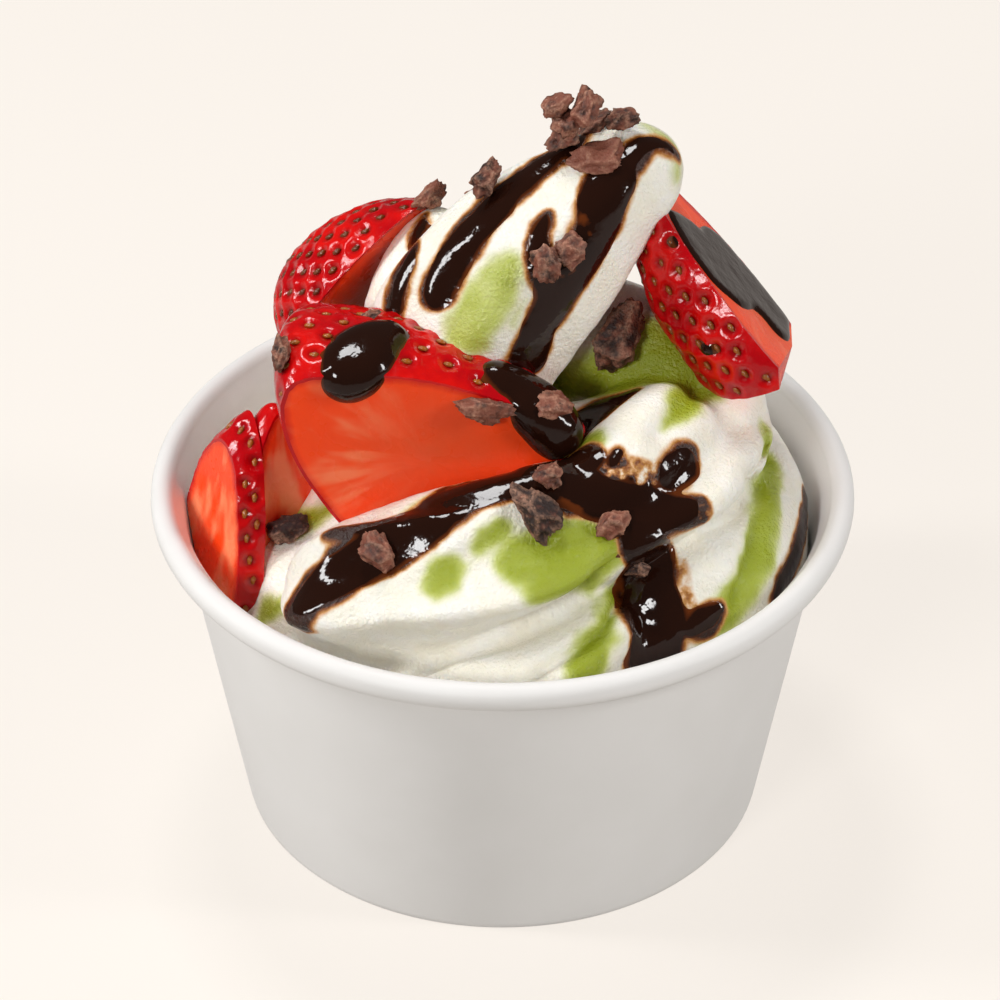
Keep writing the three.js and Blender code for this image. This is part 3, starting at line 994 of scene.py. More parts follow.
@dataclass
class SoftServe:
    """The swirl: a ring against the wall, a climbing turn, a leaning peak and the lips at the front."""

    cup: PaperCup
    voxel: float = 0.5
    hidden_below: float = 31.0
    fill_level: float = 37.0
    fill_depth: float = 4.0
    fill_steps: int = 64
    dome_radius: float = 24.0
    dome_top: float = 66.0
    floor_gap: float = 0.1
    wall_gap: float = 0.2
    smoothing: int = 2
    least_fold: float = 0.01
    slow_depth: float = 0.35
    slow_per_mm: float = 0.11
    quick_depth: float = 0.1
    quick_per_mm: float = 0.45
    quick_shift: Triple = (31.0, 7.0, 3.0)
    base_ring: Turn = Turn(
        (
            (-62, 32, 38, 8.5),
            (-30, 33, 44, 10),
            (10, 32, 44.5, 10),
            (90, 29, 41, 10),
            (180, 29, 39, 10),
            (235, 29, 37, 9.5),
        ),
        ridge_turn=36.0,
        flute_depth=0.06,
    )
    climbing_swirl: Turn = Turn(
        (
            (218, 36, 46.5, 10),
            (240, 28.5, 49.5, 11.5),
            (270, 25, 52.5, 12),
            (300, 23, 55, 11.5),
            (330, 25, 56.5, 10),
            (352, 27, 56, 9.5),
            (390, 24, 56.5, 10.5),
            (450, 19, 57, 11),
            (540, 14, 60, 11),
            (600, 6, 66, 11),
        ),
        ridge_turn=-3.0,
        flute_depth=0.26,
    )
    peak: Rope = Rope(
        (
            (-7, 2, 62),
            (-4.4, 3, 72),
            (0.3, 5, 77.8),
            (6.3, 7, 83.6),
            (11.6, 9, 87.9),
            (16.3, 11, 91),
            (23, 12.5, 95.4),
        ),
        (13, 13.7, 13.6, 12.8, 10.6, 7.8, 6.6),
        flutes=5,
        flute_depth=0.1,
        ridge_turn=16.0,
        sides=90,
        rows=90,
    )
    peak_fold: Rope = Rope(((-9, -2, 64), (-14, 6, 72), (-11, 12, 79), (-6, 14, 83)), (6, 5.2, 4, 3))
    shoulder: Rope = Rope(((31, -4, 55), (26, 3, 60.5), (18, 8, 64.5), (6, 12, 67)), (8, 9, 9, 9))
    middle_lip: Rope = Rope(
        ((-16, -35, 37), (-3, -35, 39.3), (8, -32.5, 43), (16, -28, 50)),
        (6, 7.2, 7, 4.2),
    )
    lower_lip: Rope = Rope(
        ((0, -35, 33), (8, -33.5, 36.5), (14.5, -30.5, 41), (18, -27.5, 46)),
        (5, 6, 5.5, 4),
    )
    right_lobe: Rope = Rope(((15, -26, 45), (24, -20.5, 46.5), (30, -11, 48), (32, 2, 48)), (6, 8.2, 8.2, 7))
    crown: Rope = Rope(((8, -20, 57), (14, -16.5, 60), (20, -10, 62), (26, -2, 62.5)), (6, 7, 7, 6.5))
    saddle: Rope = Rope(((4, -5, 58), (12, -6, 59.5), (20, -3, 61), (27, 2, 61)), (6, 6, 6.5, 6))
    tongue: Rope = Rope(
        ((-27, -18, 46), (-18.2, -21, 53.4), (-8.6, -22.5, 58.4), (3.8, -21, 61), (11, -18, 60)),
        (4, 4.5, 4.5, 4.2, 5),
    )
    folds: tuple = (
        Fold(((418, 668), (460, 652), (500, 637), (550, 611), (590, 585), (625, 556)), 1.9, 1.5),
        Fold(((536, 677), (571, 654), (607, 626), (622, 598)), 2.2, 1.2),
        Fold(((284, 624), (340, 603), (393, 581), (440, 555), (478, 529), (505, 503)), -0.6, 1.4),
        Fold(((421, 615), (480, 610), (530, 600), (575, 582), (620, 553)), -0.5, 1.3),
        Fold(((742, 418), (747, 445), (731, 466), (726, 488), (704, 508)), -1.2, 2.8),
        Fold(((702, 527), (725, 518), (743, 505), (750, 480), (768, 456), (775, 436)), 1.8, 1.2),
        Fold(((736, 600), (748, 572), (757, 540), (760, 509), (755, 480)), 1.5, 1.2),
        Fold(((660, 432), (680, 410), (697, 388)), 1.4, 2.4),
        Fold(((463, 267), (458, 300), (454, 330)), 0.7, 3.0),
        Fold(((547, 255), (520, 296), (485, 339)), -0.4, 1.0),
    )

    def add_fill(self, mesh: bmesh.types.BMesh) -> None:
        """Add the soft serve under the swirl: level at the wall and domed in the middle."""
        low = self.hidden_below - self.fill_depth
        outline = (
            (0.0, low),
            (self.cup.inner(low), low),
            (self.cup.inner(self.fill_level), self.fill_level),
            (self.dome_radius, (self.fill_level + self.dome_top) / 2),
            (0.0, self.dome_top),
        )
        spin_outline(mesh, outline, self.fill_steps)

    def reach_floor(self, mesh: bmesh.types.BMesh) -> None:
        """Cut the skin off under what can be seen, and carry it down to the cup's floor in one step."""
        geometry = mesh.verts[:] + mesh.edges[:] + mesh.faces[:]
        bmesh.ops.bisect_plane(
            mesh, geom=geometry, plane_co=(0, 0, self.hidden_below), plane_no=(0, 0, 1), clear_inner=True
        )
        rim = [edge for edge in mesh.edges if edge.is_boundary]
        drawn = bmesh.ops.extrude_edge_only(mesh, edges=rim)["geom"]
        floor = self.cup.floor_rise + self.cup.wall + self.floor_gap
        narrowing = (self.cup.inner(floor) - self.wall_gap) / self.cup.inner(self.hidden_below)
        for vert in (item for item in drawn if isinstance(item, bmesh.types.BMVert)):
            vert.co = (vert.co.x * narrowing, vert.co.y * narrowing, floor)
        bmesh.ops.holes_fill(mesh, edges=[edge for edge in mesh.edges if edge.is_boundary], sides=0)

    def press_folds(self, mesh: bmesh.types.BMesh) -> None:
        """Press the folds in, and draw the crests between them out."""
        surface = Surface(mesh)
        mesh.verts.ensure_lookup_table()
        for fold in self.folds:
            places = places_of(mesh)
            near = StrokeField(surface, [Stroke(fold.pixels, (0.0,), fold.sight)], waver=0.0).outside(places)
            depth = fold.depth * np.exp(-((np.maximum(near, 0.0) / fold.width) ** 2))
            for i in np.flatnonzero(np.abs(depth) > self.least_fold):
                vert = mesh.verts[i]
                vert.co -= vert.normal * float(depth[i])
        level(mesh, mesh.verts, self.smoothing)
        mesh.normal_update()

    def roughen(self, mesh: bmesh.types.BMesh) -> None:
        """Give the skin the unevenness of something piped."""
        for vert in mesh.verts:
            slow = noise.noise(vert.co * self.slow_per_mm)
            quick = noise.noise(vert.co * self.quick_per_mm + Vector(self.quick_shift))
            vert.co += vert.normal * (self.slow_depth * slow + self.quick_depth * quick)

    def build(self) -> bmesh.types.BMesh:
        """Make the swirl's skin.

        Returns:
            Its mesh in millimetres.
        """
        mesh = bmesh.new()
        self.add_fill(mesh)
        turns = (self.base_ring.rope(), self.climbing_swirl.rope())
        upper = (self.peak, self.peak_fold, self.shoulder, self.crown, self.saddle, self.tongue)
        lower = (self.middle_lip, self.lower_lip, self.right_lobe)
        for rope in (*turns, *upper, *lower):
            rope.add_to(mesh)
        bmesh.ops.recalc_face_normals(mesh, faces=mesh.faces)
        skin = remeshed(mesh, self.voxel)
        level(skin, skin.verts, self.smoothing)
        self.press_folds(skin)
        self.roughen(skin)
        self.cup.keep_inside(skin)
        self.reach_floor(skin)
        return skin


# Strawberries


@dataclass(frozen=True)
class Cut:
    """A flat face left by the knife: the way it looks and its distance from the berry's axis."""

    looks: Triple
    off_axis: float


@dataclass
class Strawberry:
    """A cut piece of strawberry."""

    node: str
    hull: Triple
    tip: Triple
    width: float
    cuts: tuple
    shoulder: float = 0.3
    tip_fullness: float = 0.62
    hull_narrowing: float = 0.75
    hull_disc: float = 0.06
    slant: float = 0.0
    lump: float = 0.35
    lump_per_mm: float = 0.16
    skin_grain: float = 0.09
    skin_grain_per_mm: float = 0.9
    seed_spacing: float = 3.3
    seed_packing: float = 0.87
    seed_samples: int = 200
    seeds_along: Pair = (0.03, 0.97)
    seed_lead: float = 0.02
    seed_from_cut: float = 0.8
    pit_depth: float = 0.5
    pit_radius: float = 1.05
    pit_rim: float = 0.12
    pit_rim_radius: float = 1.6
    pit_rim_width: float = 0.5
    ripeness: float = 0.3
    core: float = 0.6
    core_along: float = 0.4
    core_spread: Pair = (0.34, 0.26)
    streak: float = 0.35
    streak_start: float = 10.0
    streak_edge: float = 2.0
    strand_scale: Triple = (4.0, 0.1, 0.5)
    sides: int = 200
    rows: int = 150
    rings: tuple = (0.97, 0.93, 0.88, 0.81, 0.72, 0.6, 0.46, 0.3, 0.14)
    seeds: list = field(default_factory=list)

    def __post_init__(self) -> None:
        """Work out the berry's own directions."""
        axis = Vector(self.tip) - Vector(self.hull)
        self.length = axis.length
        self.ahead = axis.normalized()
        self.turn = UP.rotation_difference(self.ahead)

    def radius(self, along: float) -> float:
        """The berry's radius at a share of the way from its hulled end to its tip."""
        if along < self.shoulder:
            return self.width / 2 * math.sqrt(1 - (1 - along / self.shoulder) ** 2 * self.hull_narrowing)
        past = (along - self.shoulder) / (1 - self.shoulder)
        return self.width / 2 * max(0.0, math.cos(past * math.pi / 2)) ** self.tip_fullness

    def place(self, along: float, angle: float, scale: float = 1.0) -> Vector:
        """A point on the berry's skin, at an angle round its axis.

        Args:
            along: Its share of the way from the hulled end to the tip.
            angle: Its angle round the axis.
            scale: 1 on the skin, and less inside it.

        Returns:
            The point.
        """
        reach = self.radius(along) * scale
        aside = self.turn @ Vector((reach * math.cos(angle), reach * math.sin(angle), 0.0))
        ahead = along * self.length - self.slant * aside.z * (1 - along)
        return Vector(self.hull) + aside + self.ahead * ahead

    def planes(self) -> list[tuple[Vector, float]]:
        """Each cut as the way it looks and its distance from the frame's origin."""
        middle = (Vector(self.hull) + Vector(self.tip)) / 2
        return [
            (Vector(cut.looks).normalized(), Vector(cut.looks).normalized().dot(middle) + cut.off_axis)
            for cut in self.cuts
        ]

    def sow(self) -> None:
        """Lay out the seeds in the spiral that berries grow them in, as far as the cuts leave skin."""
        shares = np.linspace(*self.seeds_along, self.seed_samples)
        radii = np.array([self.radius(share) for share in shares])
        areas = np.cumsum(radii) / radii.sum()
        skin = 2 * math.pi * radii.mean() * self.length
        count = int(skin / (self.seed_packing * self.seed_spacing**2))
        golden = math.pi * (3 - math.sqrt(5))
        for i in range(count):
            along = float(np.interp((i + 0.5) / count, areas, shares))
            spot = self.place(along, i * golden)
            ahead = (self.place(min(along + self.seed_lead, 1.0), i * golden) - spot).normalized()
            around = self.ahead.cross(spot - Vector(self.hull)).normalized()
            looks = around.cross(ahead).normalized()
            if all(way.dot(spot) < reach - self.seed_from_cut for way, reach in self.planes()):
                self.seeds.append((spot, looks, ahead))

    def shape(self, mesh: bmesh.types.BMesh, pitted: bool) -> None:
        """Draw a sphere out to the berry's outline, with a pit for each seed if they are wanted."""
        tree = nearest_finder([spot for spot, _, _ in self.seeds])
        pit_shade = mesh.verts.layers.float.new("pit_shade")
        own = mesh.verts.layers.float_vector.new("place")
        made = bmesh.ops.create_uvsphere(mesh, u_segments=self.sides, v_segments=self.rows, radius=1.0)
        back = self.turn.inverted()
        for vert in made["verts"]:
            step = math.acos(max(-1.0, min(1.0, -vert.co.z))) / math.pi
            angle = math.atan2(vert.co.y, vert.co.x)
            along = max(0.0, (step - self.hull_disc) / (1 - self.hull_disc))
            spot = self.place(along, angle, min(1.0, step / self.hull_disc))
            looks = (spot - Vector(self.hull)) - self.ahead * self.ahead.dot(spot - Vector(self.hull))
            looks.normalize()
            spot += looks * self.lump * noise.noise(spot * self.lump_per_mm)
            if pitted and self.seeds and 0.0 < along < 1.0:
                near = tree.find(spot)[2]
                hollow = math.exp(-((near / self.pit_radius) ** 2))
                rim = math.exp(-(((near - self.pit_rim_radius) / self.pit_rim_width) ** 2))
                spot -= looks * (self.pit_depth * hollow - self.pit_rim * rim)
                spot += looks * self.skin_grain * noise.noise(spot * self.skin_grain_per_mm)
                # how deep the pit is, kept for the painted shade in the pits
                vert[pit_shade] = hollow
            vert.co = spot
            vert[own] = back @ (spot - Vector(self.hull))

    def slice(self, mesh: bmesh.types.BMesh) -> None:
        """Cut the flat faces, and ring each one inwards so that its colour can follow its edge."""
        depth = mesh.verts.layers.float.new("depth")
        core = mesh.verts.layers.float.new("core")
        streak = mesh.verts.layers.float.new("streak")
        own = mesh.verts.layers.float_vector["place"]
        for looks, reach in self.planes():
            geometry = mesh.verts[:] + mesh.edges[:] + mesh.faces[:]
            cut = bmesh.ops.bisect_plane(
                mesh, geom=geometry, dist=1e-4, plane_co=looks * reach, plane_no=looks, clear_outer=True
            )["geom_cut"]
            edges = [item for item in cut if isinstance(item, bmesh.types.BMEdge)]
            rim = [item for item in cut if isinstance(item, bmesh.types.BMVert)]
            for edge in edges:
                edge.smooth = False
            face = bmesh.ops.contextual_create(mesh, geom=edges)["faces"][0]
            face.material_index = 1
            tree = nearest_finder([vert.co for vert in rim])
            middle = face.calc_center_median_weighted()
            size = 1.0
            for smaller in self.rings:
                drawn = bmesh.ops.extrude_face_region(mesh, geom=[face])["geom"]
                bmesh.ops.delete(mesh, geom=[face], context="FACES_ONLY")
                face = next(item for item in drawn if isinstance(item, bmesh.types.BMFace))
                shrink = Matrix.Scale(smaller / size, 4)
                bmesh.ops.transform(mesh, matrix=shrink, space=Matrix.Translation(-middle), verts=face.verts)
                size = smaller
                for vert in face.verts:
                    vert[depth] = tree.find(vert.co)[2]
        way = Vector(self.cuts[0].looks).normalized()
        across = way.cross(self.ahead).normalized()
        middle = Vector(self.hull) + self.ahead * self.core_along * self.length
        for vert in mesh.verts:
            spot = vert.co - middle
            ahead, aside = spot.dot(self.ahead) / self.length, spot.dot(across) / self.width
            long_spread, wide_spread = self.core_spread
            vert[core] = self.core * math.exp(-((ahead / long_spread) ** 2) - (aside / wide_spread) ** 2)
            reach = math.hypot(spot.dot(self.ahead), spot.dot(across))
            fan = math.atan2(aside * self.width, -ahead * self.length)
            round_, out, deep = self.strand_scale
            vert[own] = (fan * round_, reach * out, way.dot(spot) * deep)
            toward_hull = (1 + math.cos(fan)) / 2
            start = min(1.0, reach / self.streak_start) ** 2
            vert[streak] = self.streak * start * min(1.0, vert[depth] / self.streak_edge) * toward_hull**3

    def build(self, cup: PaperCup, pitted: bool = True) -> bmesh.types.BMesh:
        """Make the piece.

        Args:
            cup: The cup that it stays inside of.
            pitted: Whether it has its seeds and their pits.

        Returns:
            Its mesh in millimetres.
        """
        if pitted:
            self.sow()
        mesh = bmesh.new()
        self.shape(mesh, pitted)
        bmesh.ops.remove_doubles(mesh, verts=mesh.verts, dist=TINY)
        bmesh.ops.recalc_face_normals(mesh, faces=mesh.faces)
        self.slice(mesh)
        bmesh.ops.recalc_face_normals(mesh, faces=mesh.faces)
        cup.keep_inside(mesh)
        return mesh


@dataclass
class SeedSet:
    """The seeds of all the berries: small flattened drops that sit in their pits."""

    half_length: float = 0.78
    half_width: float = 0.45
    half_height: float = 0.32
    sunk: float = 0.36
    taper: float = 0.35
    spread: float = 0.15
    spread_per_mm: float = 2.3
    from_wall: float = 1.2

    def build(self, berries: Sequence[Strawberry], cup: PaperCup) -> bpy.types.Object:
        """Make the seeds.

        Args:
            berries: The pieces of strawberry, with their seeds laid out.
            cup: The cup, whose wall has pressed the seeds off what leans on it.

        Returns:
            One piece with every seed.
        """
        mesh = bmesh.new()
        ripe = mesh.verts.layers.float.new("ripe")
        for berry in berries:
            for spot, looks, ahead in berry.seeds:
                if spot.z < cup.height and spot.xy.length > cup.inner(spot.z) - self.from_wall:
                    continue
                made = bmesh.ops.create_icosphere(mesh, subdivisions=1, radius=1.0)["verts"]
                size = 1 + self.spread * noise.noise(spot * self.spread_per_mm)
                around = looks.cross(ahead)
                for vert in made:
                    x, y, z = vert.co
                    taper = 1 - self.taper * max(0.0, -x)
                    vert.co = (
                        spot
                        - looks * self.sunk
                        + ahead * x * self.half_length * size
                        + around * y * self.half_width * size * taper
                        + looks * z * self.half_height * size
                    )
                    vert[ripe] = berry.ripeness
        bmesh.ops.recalc_face_normals(mesh, faces=mesh.faces)
        return finish_piece("strawberry_seeds", mesh, [SeedFinish().material()])


STRAWBERRIES = (
    Strawberry(
        node="strawberry_front",
        hull=(-25.8, -9, 63.5),
        tip=(11, -12, 66),
        width=34,
        shoulder=0.16,
        tip_fullness=0.74,
        slant=0.38,
        cuts=(Cut((0.08, -1, 0.02), 6.2),),
        seed_spacing=3.7,
        core=0.5,
        core_along=0.45,
        streak=0.6,
        sides=300,
        rows=200,
    ),
    Strawberry(
        node="strawberry_back",
        hull=(-25, 17, 59),
        tip=(-7.5, 13, 84.5),
        width=24,
        cuts=(Cut((0.62, -0.6, -0.4), -1.2),),
        ripeness=0.8,
        seed_spacing=3.0,
    ),
    Strawberry(
        node="strawberry_right",
        hull=(39.3, -1.9, 65.8),
        tip=(17, 15.5, 90.5),
        width=20,
        hull_narrowing=0.5,
        cuts=(Cut((0.74, 0.06, 0.67), 1.8), Cut((0.4, -0.137, -0.908), 12.9), Cut((1, -0.2, 0.1), 10.4)),
        ripeness=0.5,
        seed_spacing=3.3,
    ),
    Strawberry(
        node="strawberry_left_slice",
        hull=(-38.5, -10, 28),
        tip=(-32.5, -2, 63),
        width=21,
        cuts=(Cut((-0.86, -0.42, 0.22), 4.5), Cut((0.86, 0.42, -0.22), -1)),
        seed_spacing=2.5,
        core=0.3,
        core_along=1.1,
        streak=1.0,
    ),
    Strawberry(
        node="strawberry_left_half",
        hull=(-31, -12, 30),
        tip=(-31, -2, 63.5),
        width=17,
        cuts=(Cut((0.75, -0.6, 0.2), 2), Cut((-0.86, -0.42, 0.22), 4)),
        seed_spacing=2.5,
        core=0.3,
        core_along=1.1,
        streak=1.0,
    ),
)


# Sauce and syrup


@dataclass(frozen=True)
class Stroke:
    """A run of sauce or syrup: the pixels it passes through and its half width from start to end."""

    pixels: tuple
    half_widths: tuple
    sight: Sight = FRONT
    gap: float = 5.0
    step_pixels: float = 7.0
    fewest_steps: int = 3

    def segments(self, surface: Surface) -> list[tuple[Vector, Vector, float, float]]:
        """Lay the run on a surface.

        Args:
            surface: What it runs over.

        Returns:
            Short straight stretches with the half width at each end.
        """
        if len(self.pixels) == 1:
            hit = surface.seen(self.sight, self.pixels[0])
            return [(hit[0], hit[0] + UP * TINY, self.half_widths[0], self.half_widths[0])] if hit else []
        length = sum(math.dist(a, b) for a, b in zip(self.pixels, self.pixels[1:]))
        count = max(self.fewest_steps, int(length / self.step_pixels))
        points = smooth_path([(u, v, 0.0) for u, v in self.pixels], count)
        laid = []
        for i, point in enumerate(points):
            hit = surface.seen(self.sight, (point.x, point.y))
            laid.append((hit[0] if hit else None, list_at(self.half_widths, i / (count - 1))))
        return [
            (a, b, ra, rb)
            for (a, ra), (b, rb) in zip(laid, laid[1:])
            if a is not None and b is not None and (b - a).length < self.gap
        ]


@dataclass
class StrokeField:
    """How far each point lies outside a set of runs, below 0 inside them."""

    surface: Surface
    strokes: Sequence[Stroke]
    softness: float = 0.3
    overlap: float = 0.4
    waver: float = 0.3
    waver_size: float = 2.6
    waver_within: float = 3.0
    fine_waver: float = 0.3
    fine_scale: float = 3.1
    exponents: Pair = (-60.0, 30.0)
    least_square: float = 1e-9
    least_total: float = 1e-26

    def __post_init__(self) -> None:
        """Lay all the runs on the surface."""
        found = [segment for stroke in self.strokes for segment in stroke.segments(self.surface)]
        self.starts = np.array([s[0] for s in found]).reshape(-1, 3)
        self.ends = np.array([s[1] for s in found]).reshape(-1, 3)
        self.start_widths = np.array([s[2] for s in found])
        self.end_widths = np.array([s[3] for s in found])

    def outside(self, places: np.ndarray) -> np.ndarray:
        """Distances from points to the edge of the runs.

        Args:
            places: One point a row.

        Returns:
            One distance each, below 0 inside.
        """
        total = np.zeros(len(places))
        for a, b, ra, rb in zip(self.starts, self.ends, self.start_widths, self.end_widths):
            way = b - a
            share = np.clip(((places - a) @ way) / max(self.least_square, way @ way), 0.0, 1.0)
            gap = np.linalg.norm(places - a - share[:, None] * way, axis=1) - (ra + (rb - ra) * share)
            total += np.exp(np.clip(-gap / self.softness, *self.exponents))
        distance = self.overlap - self.softness * np.log(np.maximum(total, self.least_total))
        for i in np.flatnonzero(np.abs(distance) < self.waver_within):
            spot = Vector(places[i]) / self.waver_size
            fine = self.fine_waver * noise.noise(spot * self.fine_scale)
            distance[i] += self.waver * (noise.noise(spot) + fine)
        return distance


@dataclass
class SaucePour:
    """Sauce over a carrier: a skin that stands proud inside its runs and dips under the carrier outside."""

    name: str
    carrier: bmesh.types.BMesh
    runs: StrokeField
    thin: Optional[StrokeField] = None
    thickness: float = 0.4
    edge: float = 1.4
    margin: float = 0.8
    underside: float = 0.4
    smoothing: int = 8
    levelling: int = 16
    thin_edge: float = 0.8

    def smooth(self, mesh: bmesh.types.BMesh, times: int) -> None:
        """Let the skin level itself, away from its border.

        Args:
            mesh: The skin.
            times: How far it levels.
        """
        level(mesh, [vert for vert in mesh.verts if not vert.is_boundary], times)

    def close(self, mesh: bmesh.types.BMesh, way: bmesh.types.BMLayerItem) -> None:
        """Give the skin an underside, inside the carrier.

        Args:
            mesh: The skin.
            way: The layer that keeps the way each vertex looks.
        """
        under = mesh.verts[:]
        bmesh.ops.extrude_face_region(mesh, geom=mesh.faces[:] + mesh.edges[:] + under, use_keep_orig=True)
        for vert in under:
            vert.co -= Vector(vert[way]).normalized() * self.underside
        bmesh.ops.recalc_face_normals(mesh, faces=mesh.faces)
        for face in mesh.faces:
            face.material_index = 0

    def build(self) -> bpy.types.Object:
        """Make the sauce.

        Returns:
            The sauce as a closed piece.
        """
        self.carrier.normal_update()
        outside = self.runs.outside(places_of(self.carrier))
        mesh = self.carrier.copy()
        way = mesh.verts.layers.float_vector.new("way")
        far = mesh.verts.layers.float.new("far")
        for vert, distance in zip(mesh.verts, outside):
            vert[way] = vert.normal
            vert[far] = distance
        away = [face for face in mesh.faces if min(vert[far] for vert in face.verts) > self.margin]
        bmesh.ops.delete(mesh, geom=away, context="FACES")
        self.smooth(mesh, self.levelling)
        bmesh.ops.subdivide_edges(mesh, edges=mesh.edges, cuts=1, use_grid_fill=True)
        outside = self.runs.outside(places_of(mesh))
        heights = self.thickness * np.tanh(-outside / self.edge)
        for vert, height in zip(mesh.verts, heights):
            vert.co += Vector(vert[way]).normalized() * float(height)
        self.smooth(mesh, self.smoothing)
        depth = np.clip(heights / self.thickness, 0.0, 1.0)
        if self.thin:
            depth *= smooth_step(-self.thin_edge, self.thin_edge, self.thin.outside(places_of(mesh)))
        store(mesh, "depth", depth)
        bmesh.ops.recalc_face_normals(mesh, faces=mesh.faces)
        outward = sum(vert.normal.dot(Vector(vert[way])) for vert in mesh.verts)
        if outward < 0:
            bmesh.ops.reverse_faces(mesh, faces=mesh.faces)
        self.close(mesh, way)
        return finish_piece(self.name, mesh, [SauceFinish().material()])


SAUCE_ON_PEAK = (
    Stroke(
        ((600, 122), (582, 134), (556, 154), (515, 188), (480, 224), (456, 256), (441, 286), (438, 294)),
        (1.2, 2.0, 2.7, 2.7),
    ),
    Stroke(((428, 208), (417, 238), (402, 276), (392, 314)), (1.0, 1.5, 1.8)),
    Stroke(((678, 156), (668, 146), (650, 143), (632, 156), (612, 182)), (0.8, 1.5, 2.2, 3.0)),
    Stroke(
        ((612, 182), (602, 206), (598, 228), (582, 260), (560, 292), (542, 324), (528, 358)),
        (3.6, 3.7, 3.2, 3.2, 2.9, 2.6, 3.5),
    ),
    Stroke(((547, 214), (538, 240), (542, 264), (552, 288)), (0.9, 1.6, 2.2, 2.6)),
    Stroke(((412, 420), (408, 330), (416, 260), (430, 205)), (2.4, 2.8, 3.0, 1.6), BEHIND),
)
SAUCE_ON_SWIRL = (
    Stroke(((580, 424), (602, 411), (622, 400), (636, 391)), (2.6, 2.4, 1.9, 1.1)),
    Stroke(((590, 458), (545, 468), (500, 472), (462, 482), (440, 490)), (2.6, 2.2, 2.2, 1.0)),
    Stroke(
        ((565, 478), (505, 484), (450, 505), (400, 538), (350, 570), (306, 603), (292, 616)),
        (3.2, 3.3, 3.4, 3.2),
    ),
    Stroke(((398, 534), (360, 531), (316, 536)), (1.4, 1.0, 0.6)),
    Stroke(((560, 486), (600, 497), (650, 512), (694, 512)), (3.4, 3.2, 3.6, 2.4)),
    Stroke(((640, 526), (648, 556), (648, 596), (656, 628), (650, 660)), (3.4, 3.6, 4.4, 3.8)),
    Stroke(((670, 474), (684, 463)), (2.9, 2.8)),
    Stroke(((613, 464), (618, 453)), (1.3, 1.5)),
    Stroke(((598, 474),), (0.8,)),
    Stroke(((631, 479),), (1.0,)),
    Stroke(((648, 487),), (1.2,)),
    Stroke(((690, 630), (704, 620), (720, 608)), (1.7, 2.1, 1.4)),
    Stroke(((798, 446), (806, 500), (798, 548), (776, 596)), (1.4, 1.8, 1.8, 1.6)),
    Stroke(((470, 520), (520, 500), (600, 470), (690, 480)), (2.0, 2.6, 3.0, 2.0), BEHIND),
    Stroke(((560, 360), (600, 400), (620, 440)), (2.0, 2.4, 1.8), BEHIND),
)

SAUCE_ON_FRONT_BERRY = (
    Stroke(((390, 332), (372, 340), (357, 360), (350, 380)), (3.0, 4.4, 4.8, 4.2)),
    Stroke(((500, 374), (528, 390), (550, 405), (568, 428), (572, 440)), (3.0, 3.8, 4.2, 4.0, 2.8)),
    Stroke(((520, 395), (545, 430), (558, 450)), (2.4, 3.4, 2.4)),
)

SAUCE_ON_RIGHT_BERRY = (
    Stroke(((682, 226), (697, 244), (716, 266), (731, 284)), (3.0, 5.6, 6.6, 4.6)),
    Stroke(((728, 262), (750, 284), (767, 303), (776, 324)), (6.4, 7.0, 6.2, 3.4)),
    Stroke(((707, 351),), (1.4,)),
)

# Places where the sauce has run thin
THIN_SAUCE = (
    Stroke(((582, 216), (588, 232)), (0.9, 0.9)),
    Stroke(((560, 276), (574, 268)), (0.9, 0.9)),
    Stroke(((566, 505), (585, 517)), (1.4, 0.9)),
)

# Patches where the soft serve is mottled with sauce
BLEEDS = (
    Stroke(((592, 474), (620, 470), (648, 474)), (1.6, 2.6, 2.0)),
    Stroke(((640, 478), (652, 490)), (1.8, 1.4)),
    Stroke(((700, 500), (706, 520)), (1.2, 1.0)),
    Stroke(((684, 560), (690, 600), (700, 612)), (0.6, 0.8, 0.6)),
)

# Green syrup, thin on the peak and deeper in the creases
PALE_SYRUP = (
    Stroke(((512, 262), (492, 292), (466, 330)), (2.4, 4.6, 4.4)),
    Stroke(((526, 300), (512, 322)), (1.0, 1.6)),
    Stroke(((648, 126), (674, 146), (678, 180)), (1.4, 2.0, 1.2)),
)
SYRUP = (
    Stroke(((560, 385), (610, 376), (650, 352), (690, 385)), (3.4, 5.0, 5.4, 3.4)),
    Stroke(((704, 384), (684, 402), (664, 430)), (3.8, 3.0, 0.8)),
    Stroke(((566, 454), (592, 440)), (3.4, 2.8)),
    Stroke(((520, 560), (570, 557), (615, 545)), (4.2, 6.2, 3.4)),
    Stroke(((540, 588), (590, 580)), (3.0, 3.0)),
    Stroke(((438, 584), (448, 570)), (3.0, 2.8)),
    Stroke(((480, 545), (500, 529)), (2.0, 2.4)),
    Stroke(((604, 618), (617, 588)), (2.2, 2.0)),
    Stroke(((586, 670), (598, 642), (608, 622)), (3.4, 3.2, 2.2)),
    Stroke(
        ((766, 430), (769, 480), (766, 520), (752, 570), (734, 600), (706, 632)),
        (1.8, 2.7, 3.0, 3.2, 3.0, 2.6),
    ),
    Stroke(((780, 405), (786, 440)), (2.2, 1.8)),
    Stroke(((266, 612), (288, 604)), (2.6, 2.4)),
    Stroke(((304, 528), (330, 508)), (2.0, 2.0)),
    Stroke(((380, 532), (420, 510), (452, 492)), (1.2, 1.8, 1.2)),
    Stroke(((350, 480), (430, 470), (520, 476)), (3.0, 4.0, 3.0), BEHIND),
    Stroke(((430, 300), (450, 360)), (3.0, 3.4), BEHIND),
    Stroke(((660, 430), (720, 470)), (3.0, 2.6), BEHIND),
)


# Cacao nibs


